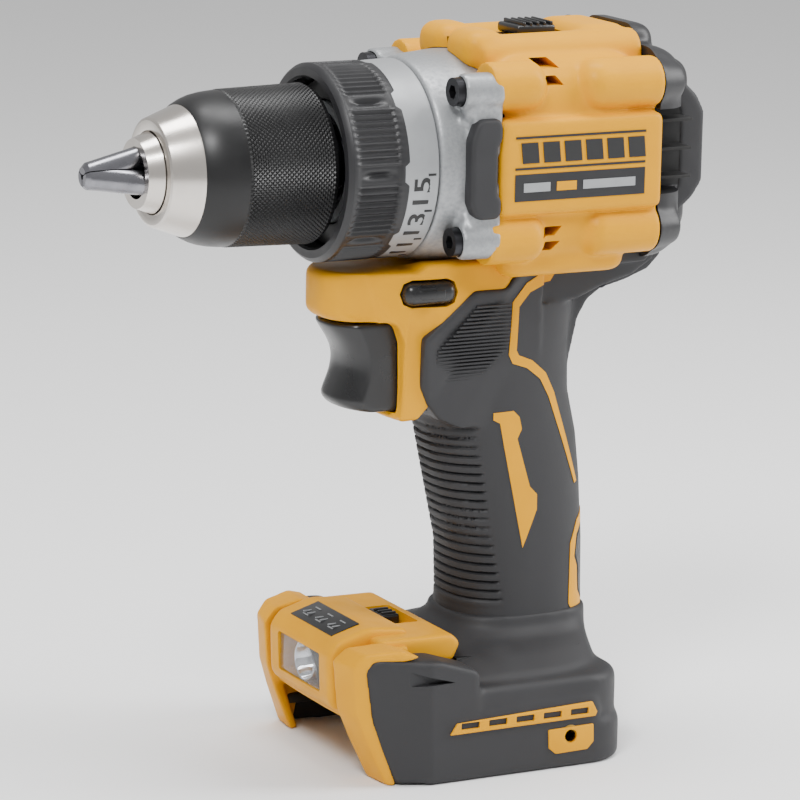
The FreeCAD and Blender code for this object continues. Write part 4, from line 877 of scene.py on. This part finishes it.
for v in solid_slab(bm, throat, -1.0, 1.0):
    v.co.y = math.copysign(throat_half_width(v.co.z) - (1.2 if v.co.x < -125.0 else 0.0), v.co.y)
shelf = [(-119.0, -25.0), (-157.0, -24.0), (-164.5, -25.5), (-163.5, -30.0), (-157.0, -34.0), (-148.0, -36.4),
         (-140.0, -39.5), (-128.0, -41.0)]
solid_slab(bm, shelf, -14.5, 14.5)
upper = [(-121.0, -24.5), (-157.0, -23.5), (-162.0, -25.5), (-158.0, -29.5), (-130.0, -31.0)]
solid_slab(bm, upper, -19.5, 19.5)
grip = raw_object("grip_overmould", bm)
melt(grip, 0.5, 9)
bm = opened(grip.data)
for v in bm.verts:
    x, y, z = v.co / MM
    edge = -110.8 + (z + 76.0) * 0.17
    on_fingers = share((x - edge) / 1.5)
    fade = share((-72.5 - z) / 2.0) * share((z + 124.5) / 2.0)
    wave = (z + 76.0) / RIB_PITCH
    groove = max(0.0, math.cos(2 * math.pi * wave)) ** 4
    v.co -= v.normal * (RIB_DEPTH * on_fingers * fade * groove) * MM
closed(bm, grip.data)
bm = bmesh.new()
solid_box(bm, (-135.0, -86.0), (-WELL, WELL), (-63.5, -41.8))
solid_box(bm, (-99.4, -86.0), (-WELL, WELL), (-67.6, -60.0))
solid_rod(bm, (-88, 0, 0), (-156, 0, 0), 27.4, segments=96)
carve(grip, bm)
done(grip, "housing", RUBBER, "grip_left", "grip_right", angle=40)

# %% [markdown]
# Yellow flashes and a grained patch are inlaid in the rubber. Each outline is cut from the
# grip's own skin, so they follow the curve of the handle. The right side repeats the left.

# %% Flashes and panels on the grip
FLASH = [(-133.6, -30.2), (-126.0, -31.4), (-122.4, -33.4), (-118.4, -38.4), (-118.0, -53.0), (-119.4, -55.6),
         (-124.0, -57.2), (-128.4, -60.6), (-131.6, -66.0), (-141.5, -91.5), (-142.6, -91.0), (-133.6, -65.0),
         (-130.2, -59.0), (-125.6, -55.2), (-121.2, -53.4), (-120.4, -52.0), (-120.4, -39.8), (-123.6, -36.0),
         (-127.4, -34.4), (-131.2, -33.9)]
BADGE = [(-114.2, -69.0), (-120.2, -68.8), (-122.0, -70.6), (-122.8, -74.0), (-121.5, -76.6), (-125.5, -90.2),
         (-127.8, -92.6), (-127.8, -96.8), (-123.6, -107.2), (-122.8, -103.4), (-116.2, -72.0), (-114.2, -71.0)]
LOWER = [(-146.5, -99.5), (-142.6, -102.0), (-139.6, -108.0), (-139.2, -125.0), (-141.2, -128.0),
         (-144.6, -128.2),
         (-145.4, -125.0), (-143.2, -122.0), (-142.8, -115.0), (-141.4, -112.0), (-142.4, -106.0),
         (-147.5, -101.0)]
PATCH = [(-147.5, -101.6), (-142.8, -107.0), (-142.0, -111.6), (-143.4, -114.6), (-143.8, -121.6),
         (-145.8, -124.6),
         (-147.6, -126.5), (-160.0, -120.0), (-160.0, -104.0)]
for side, word in ((1, "left"), (-1, "right")):
    inlay("grip_flash_" + word, grip, FLASH, 0.18, side, YELLOW)
    inlay("grip_badge_" + word, grip, BADGE, 0.18, side, YELLOW)
    inlay("grip_lower_flash_" + word, grip, LOWER, 0.20, side, YELLOW)
    inlay("grip_patch_" + word, grip, PATCH, 0.14, side, GRAINED)

# %% [markdown]
# Above the ribs, where the web of the thumb rests, the rubber has fine raised lines. Each
# is a thin bar laid on the curved flank, shorter towards the ends of the field.

# %% Fine lines above the finger ribs
LINE_PITCH = 1.05
bm = bmesh.new()
for i in range(20):
    z = -38.6 - LINE_PITCH * i
    front = -95.4 - max(0.0, (z + 50.0) * 0.95)
    rear = -116.8 + max(0.0, (-51.0 - z) * 1.0)
    for side in (1, -1):
        y = side * (throat_half_width(z) + 0.2)
        solid_box(bm, (rear, front), about(y, 0.4), about(z, 0.30), bevel=0.12, segments=1)
lines = done(raw_object("grip_lines", bm), "housing", RUBBER)

# %% [markdown]
# The foot holds the battery. Its charcoal shell flares from the grip to a box with a
# proud band along the rails, open underneath and in front.

# %% Foot shell
FOOT_FRONT = {"front": -63.0, "depth": 22.0, "half_width": 38.0, "pull": 3.0, "narrow": 0.2}
HOOK_X, HOOK_Z = -127.5, -155.0
HOOK_HOLE, INSERT_HOLE = 3.05, 1.9
NOTCH = [(-72.0, -133.5), (-77.5, -131.8), (-92.0, -136.0), (-79.5, -136.4), (-76.0, -140.5)]
bm = bmesh.new()
solid_loft(bm, [(-150.0, -112.5, 36.0, 38.0), (-142.5, -114.0, 34.0, 37.0), (-137.5, -117.0, 30.0, 33.0),
                (-134.0, -121.0, 26.0, 26.5), (-131.5, -125.6, 22.4, 20.4), (-129.0, -127.8, 20.8, 17.9),
                (-126.0, -128.2, 20.4, 17.6)], power=3.0)
solid_block(bm, (-147.2, -84.0), 38.0, (FLOOR_Z, -139.0), 13.0, 2.5)
solid_block(bm, (-147.6, -84.0), 39.0, (FLOOR_Z, -152.0), 12.0, 1.2)
for side in (1, -1):
    wedge = [(-66.0, -131.8), (-69.5, -129.0), (-88.0, -130.0), (-100.0, -134.0), (-100.0, -163.6),
             (-75.2, -163.6),
             (-70.8, -154.0), (-68.2, -146.0)]
    solid_slab(bm, wedge, side * 26.0, side * 38.6, bevel=1.0)
    solid_slab(bm, [(-88.0, -151.6), (-91.5, -145.6), (-135.0, -144.2), (-137.5, -149.0), (-136.5, -151.6)],
               side * 35.0, side * 38.9, bevel=0.8)
foot = raw_object("foot_shell", bm)
melt(foot, 0.8, 6)
round_front(foot, **FOOT_FRONT)
bm = bmesh.new()
solid_box(bm, (-140.0, -40.0), (-31.0, 31.0), (-190.0, -150.0))
solid_box(bm, (-138.6, -70.0), (-27.0, 27.0), (-152.0, -143.5))
solid_box(bm, (-92.0, -40.0), (-25.5, 25.5), (-190.0, -120.0))
solid_slab(bm, NOTCH, 36.4, 60)
solid_slab(bm, NOTCH, -60, -36.4)
for side in (1, -1):
    solid_rod(bm, (HOOK_X, side * 30, HOOK_Z), (HOOK_X, side * 50, HOOK_Z), HOOK_HOLE, segments=32)
carve(foot, bm)
done(foot, "housing", RUBBER, angle=40)

# %% [markdown]
# A battery slides in on two rails inside the foot. They are plain nylon bars.

# %% Battery rails
bm = bmesh.new()
for side in (1, -1):
    solid_box(bm, (-139.5, -74.0), about(side * 29.6, 1.7), (-158.0, -155.0), bevel=0.4)
rails = done(raw_object("battery_rails", bm), "housing", BLACK)

# %% [markdown]
# Yellow returns at the front of the foot: the lamp pod, the deck with its slider, and the
# jaw whose edges guide the battery in.

# %% Lamp pod
bm = bmesh.new()
pod = [(-63.9, -131.0), (-66.6, -127.2), (-76.5, -124.4), (-88.0, -125.6), (-88.0, -146.5), (-66.2, -146.5),
       (-64.4, -144.0)]
solid_slab(bm, pod, -19.0, 19.0, bevel=1.6)
pod_piece = raw_object("lamp_pod", bm)
melt(pod_piece, 0.55, 4)
bm = bmesh.new()
solid_box(bm, (-76.0, -50.0), (-12.8, 12.8), (-142.4, -131.6), bevel=0.8)
carve(pod_piece, bm)
done(pod_piece, "housing", YELLOW, "lamp_head", angle=35)

# %% [markdown]
# The lamp is a recess with a near-black backing of painted shade, a plated bowl and a clear window. The bowl is
# spun like any turned part, and the icon panel is a thin plate set flush in the slope above it.

# %% Lamp window, reflector and icon panel
# Near-black box behind the window: painted shade in the lamp recess.
bm = bmesh.new()
solid_box(bm, (-75.5, -74.0), (-12.6, 12.6), (-142.2, -131.8), bevel=0.3)
window = done(raw_object("lamp_shade_backing", bm), "housing", PAINTED_SHADE)
bm = bmesh.new()
turned = [(-66.2, 5.0), (-66.0, 5.3), (-66.2, 5.5), (-74.0, 3.0), (-74.0, 1.6), (-73.6, 1.6), (-70.0, 3.6)]
turned_profile(bm, turned, segments=48)
bmesh.ops.translate(bm, verts=bm.verts[:], vec=(0, 0, -137.0))
done(raw_object("lamp_bowl", bm), "housing", CHROME, "lamp_reflector")
bm = bmesh.new()
solid_box(bm, (-65.6, -64.7), (-12.6, 12.6), (-142.2, -131.8), bevel=0.3)
done(raw_object("lamp_window", bm), "housing", LENS, "lamp_lens")
bm = bmesh.new()
panel = [(-67.4, -126.75), (-75.8, -124.25), (-75.95, -124.75), (-67.55, -127.25)]
solid_slab(bm, panel, -12.0, 13.0, bevel=0.15)
icon_panel = done(raw_object("icon_panel", bm), "housing", BLACK)

# %% [markdown]
# Printed symbols are replaced by three plain square outlines, four thin bars each.

# %% Icons on the panel
bm = bmesh.new()
for y in (-7.0, 0.5, 8.0):
    for x, shift, dx, dy in ((-69.6, 0, 0.4, 3.0), (-73.4, 0, 0.4, 3.0), (-71.5, 1.3, 3.9, 0.4),
                             (-71.5, -1.3, 3.9, 0.4)):
        z = -126.73 - (-67.4 - x) * -0.298
        solid_box(bm, about(x, dx / 2), about(y + shift, dy / 2), (z - 0.15, z + 0.12))
icons = done(raw_object("panel_icons", bm), "housing", SILVER)

# %% [markdown]
# Between lamp and grip lies a flat deck. A recess in it holds the slider that sets the
# lamp's mode, with three ridges to push against.

# %% Deck and slider recess
bm = bmesh.new()
deck = [(-76.0, -126.6), (-98.5, -126.9), (-101.0, -129.5), (-98.5, -134.5), (-76.0, -134.5)]
solid_slab(bm, deck, -25.0, 25.0, bevel=1.2)
deck_piece = raw_object("foot_deck", bm)
melt(deck_piece, 0.6, 4)
bm = bmesh.new()
solid_box(bm, (-96.0, -88.0), (-9.2, 9.2), (-130.6, -120.0), bevel=0.9)
carve(deck_piece, bm)
done(deck_piece, "housing", YELLOW, angle=35)
bm = bmesh.new()
solid_box(bm, (-94.8, -89.2), (-8.4, 0.4), (-130.4, -126.9), bevel=0.7)
for i in range(3):
    solid_box(bm, (-94.2, -89.8), (-6.2 + 2.2 * i, -5.2 + 2.2 * i), (-127.1, -126.4), bevel=0.25)
done(raw_object("mode_slider", bm), "lamp_slider", BLACK, "lamp_slider")

# %% [markdown]
# The jaw wraps the front corners of the foot and guides the battery in. Cheeks, inner
# walls and a lip are drawn apart and melted together. Then its front is rounded as the
# charcoal shell's was, so that the two keep their seam.

# %% Yellow jaw
bm = bmesh.new()
for side in (1, -1):
    cheek = [(-62.8, -131.0), (-66.4, -127.8), (-76.0, -126.8), (-82.0, -128.4), (-78.6, -129.6), (-68.6, -129.8),
             (-66.6, -132.5), (-68.6, -146.0), (-75.6, -163.9), (-72.8, -163.9), (-67.2, -152.0), (-64.0, -144.0)]
    solid_slab(bm, cheek, side * 26.0, side * 38.2, bevel=0.5)
    inner = [(-66.0, -144.0), (-90.0, -144.0), (-90.0, -150.0), (-80.0, -150.0), (-76.0, -163.5), (-72.5, -157.0)]
    solid_slab(bm, inner, side * 31.2, side * 33.6, bevel=0.4)
    solid_slab(bm, [(-69.0, -131.0), (-84.0, -128.0), (-84.0, -149.5), (-70.0, -149.5)], side * 18.5, side * 27.0,
               bevel=0.5)
lip = [(-67.0, -145.5), (-86.0, -145.5), (-86.0, -149.8), (-72.0, -149.8), (-68.0, -148.4)]
solid_slab(bm, lip, -31.0, 31.0, bevel=0.5)
jaw = raw_object("foot_jaw", bm)
melt(jaw, 0.6, 4)
round_front(jaw, **FOOT_FRONT)
done(jaw, "housing", YELLOW, angle=35)

# %% [markdown]
# Each side of the foot has a slotted strip and a boss plate for a belt hook. Slots and
# hole are carved right through, so they are real openings and not paint.

# %% Side vents and boss plates of the foot
VENT = [(-90.5, -150.4), (-92.5, -147.4), (-134.0, -146.0), (-135.6, -149.0), (-135.0, -150.2)]
BOSS = [(-120.6, -152.6), (-134.6, -152.4), (-134.8, -157.4), (-132.8, -159.4), (-123.0, -159.6),
        (-120.8, -157.8)]
for side, word in ((1, "left"), (-1, "right")):
    bm = bmesh.new()
    near, far = (38.4, 39.5) if side > 0 else (-39.5, -38.4)
    solid_slab(bm, VENT, near, far, bevel=0.25)
    vent = raw_object("foot_vent_" + word, bm)
    bm = bmesh.new()
    for i in range(5):
        x = -93.6 - 8.4 * i
        solid_box(bm, (x - 5.6, x), (near - 1, far + 1), (-149.2, -147.4), bevel=0.3)
    carve(vent, bm)
    done(vent, "housing", YELLOW)
    bm = bmesh.new()
    solid_slab(bm, BOSS, side * 38.0, side * 39.4, bevel=0.35)
    boss = raw_object("hook_boss_" + word, bm)
    bm = bmesh.new()
    solid_rod(bm, (HOOK_X, side * 30, HOOK_Z), (HOOK_X, side * 50, HOOK_Z), INSERT_HOLE, segments=32)
    carve(boss, bm)
    done(boss, "housing", YELLOW)

# %% [markdown]
# The tool stands on a pale sweep under soft boxes, and the camera is a long lens, so
# the perspective stays flat as in a catalogue.

# %% Floor, light and camera
FLOOR_SIZE, FLOOR_GAP = 4000, 0.02
AMBIENT = 0.62
bm = bmesh.new()
bmesh.ops.create_grid(bm, x_segments=1, y_segments=1, size=FLOOR_SIZE,
                      matrix=Matrix.Translation((0, 0, FLOOR_Z - FLOOR_GAP)))
floor = raw_object("floor", bm)
floor.data.materials.append(finish_of("pale paper", "#F4F4F4", 0.85, grain_mm=2.0, grain=0.02, specular=0.2))
floor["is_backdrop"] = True

world = bpy.data.worlds.new("studio")
bpy.context.scene.world = world
world.use_nodes = True
world.node_tree.nodes["Background"].inputs["Color"].default_value = (1, 1, 1, 1)
world.node_tree.nodes["Background"].inputs["Strength"].default_value = AMBIENT
TOOL_MIDDLE = Vector((-0.09, 0, -0.06))


def soft_box(name, place, width, height, power):
    """Rectangular area light that faces the middle of the tool."""
    lamp = bpy.data.lights.new(name, "AREA")
    lamp.shape = "RECTANGLE"
    lamp.size, lamp.size_y = width, height
    lamp.energy = power
    made = bpy.data.objects.new(name, lamp)
    made.location = place
    made.rotation_euler = (TOOL_MIDDLE - Vector(place)).to_track_quat("-Z", "Y").to_euler()
    bpy.context.scene.collection.objects.link(made)


soft_box("key", (0.45, 0.55, 0.80), 0.35, 0.35, 11.0)
soft_box("rim", (-0.75, 0.25, 0.35), 0.20, 0.7, 7.0)
soft_box("top", (-0.15, -0.1, 0.9), 0.7, 0.35, 9.0)

LENS_MM = 189
CAMERA_PLACE = Vector((420.41, 987.60, 178.01)) * MM
AZIMUTH, ELEVATION, ROLL = math.radians(27.5), math.radians(12.4), math.radians(1.1)
toward = Vector((-math.sin(AZIMUTH) * math.cos(ELEVATION), -math.cos(AZIMUTH) * math.cos(ELEVATION),
                 -math.sin(ELEVATION)))
right = toward.cross(Vector((0, 0, 1))).normalized()
up = right.cross(toward)
right_rolled = right * math.cos(ROLL) + up * math.sin(ROLL)
up_rolled = up * math.cos(ROLL) - right * math.sin(ROLL)
camera = bpy.data.objects.new("camera", bpy.data.cameras.new("camera"))
camera.data.lens = LENS_MM
camera.data.sensor_width = 36
camera.matrix_world = Matrix.Translation(CAMERA_PLACE) @ Matrix(
    (right_rolled, up_rolled, -toward)).transposed().to_4x4()
bpy.context.scene.collection.objects.link(camera)
bpy.context.scene.camera = camera
bpy.context.view_layer.update()

# %% [markdown]
# The visual model's box is printed before the frame closes the scene. The visual
# model has to stay inside the engineering model's box.

# %% Print the visual box
low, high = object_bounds()
print("visual box", [round(v / MM, 1) for v in low], [round(v / MM, 1) for v in high])
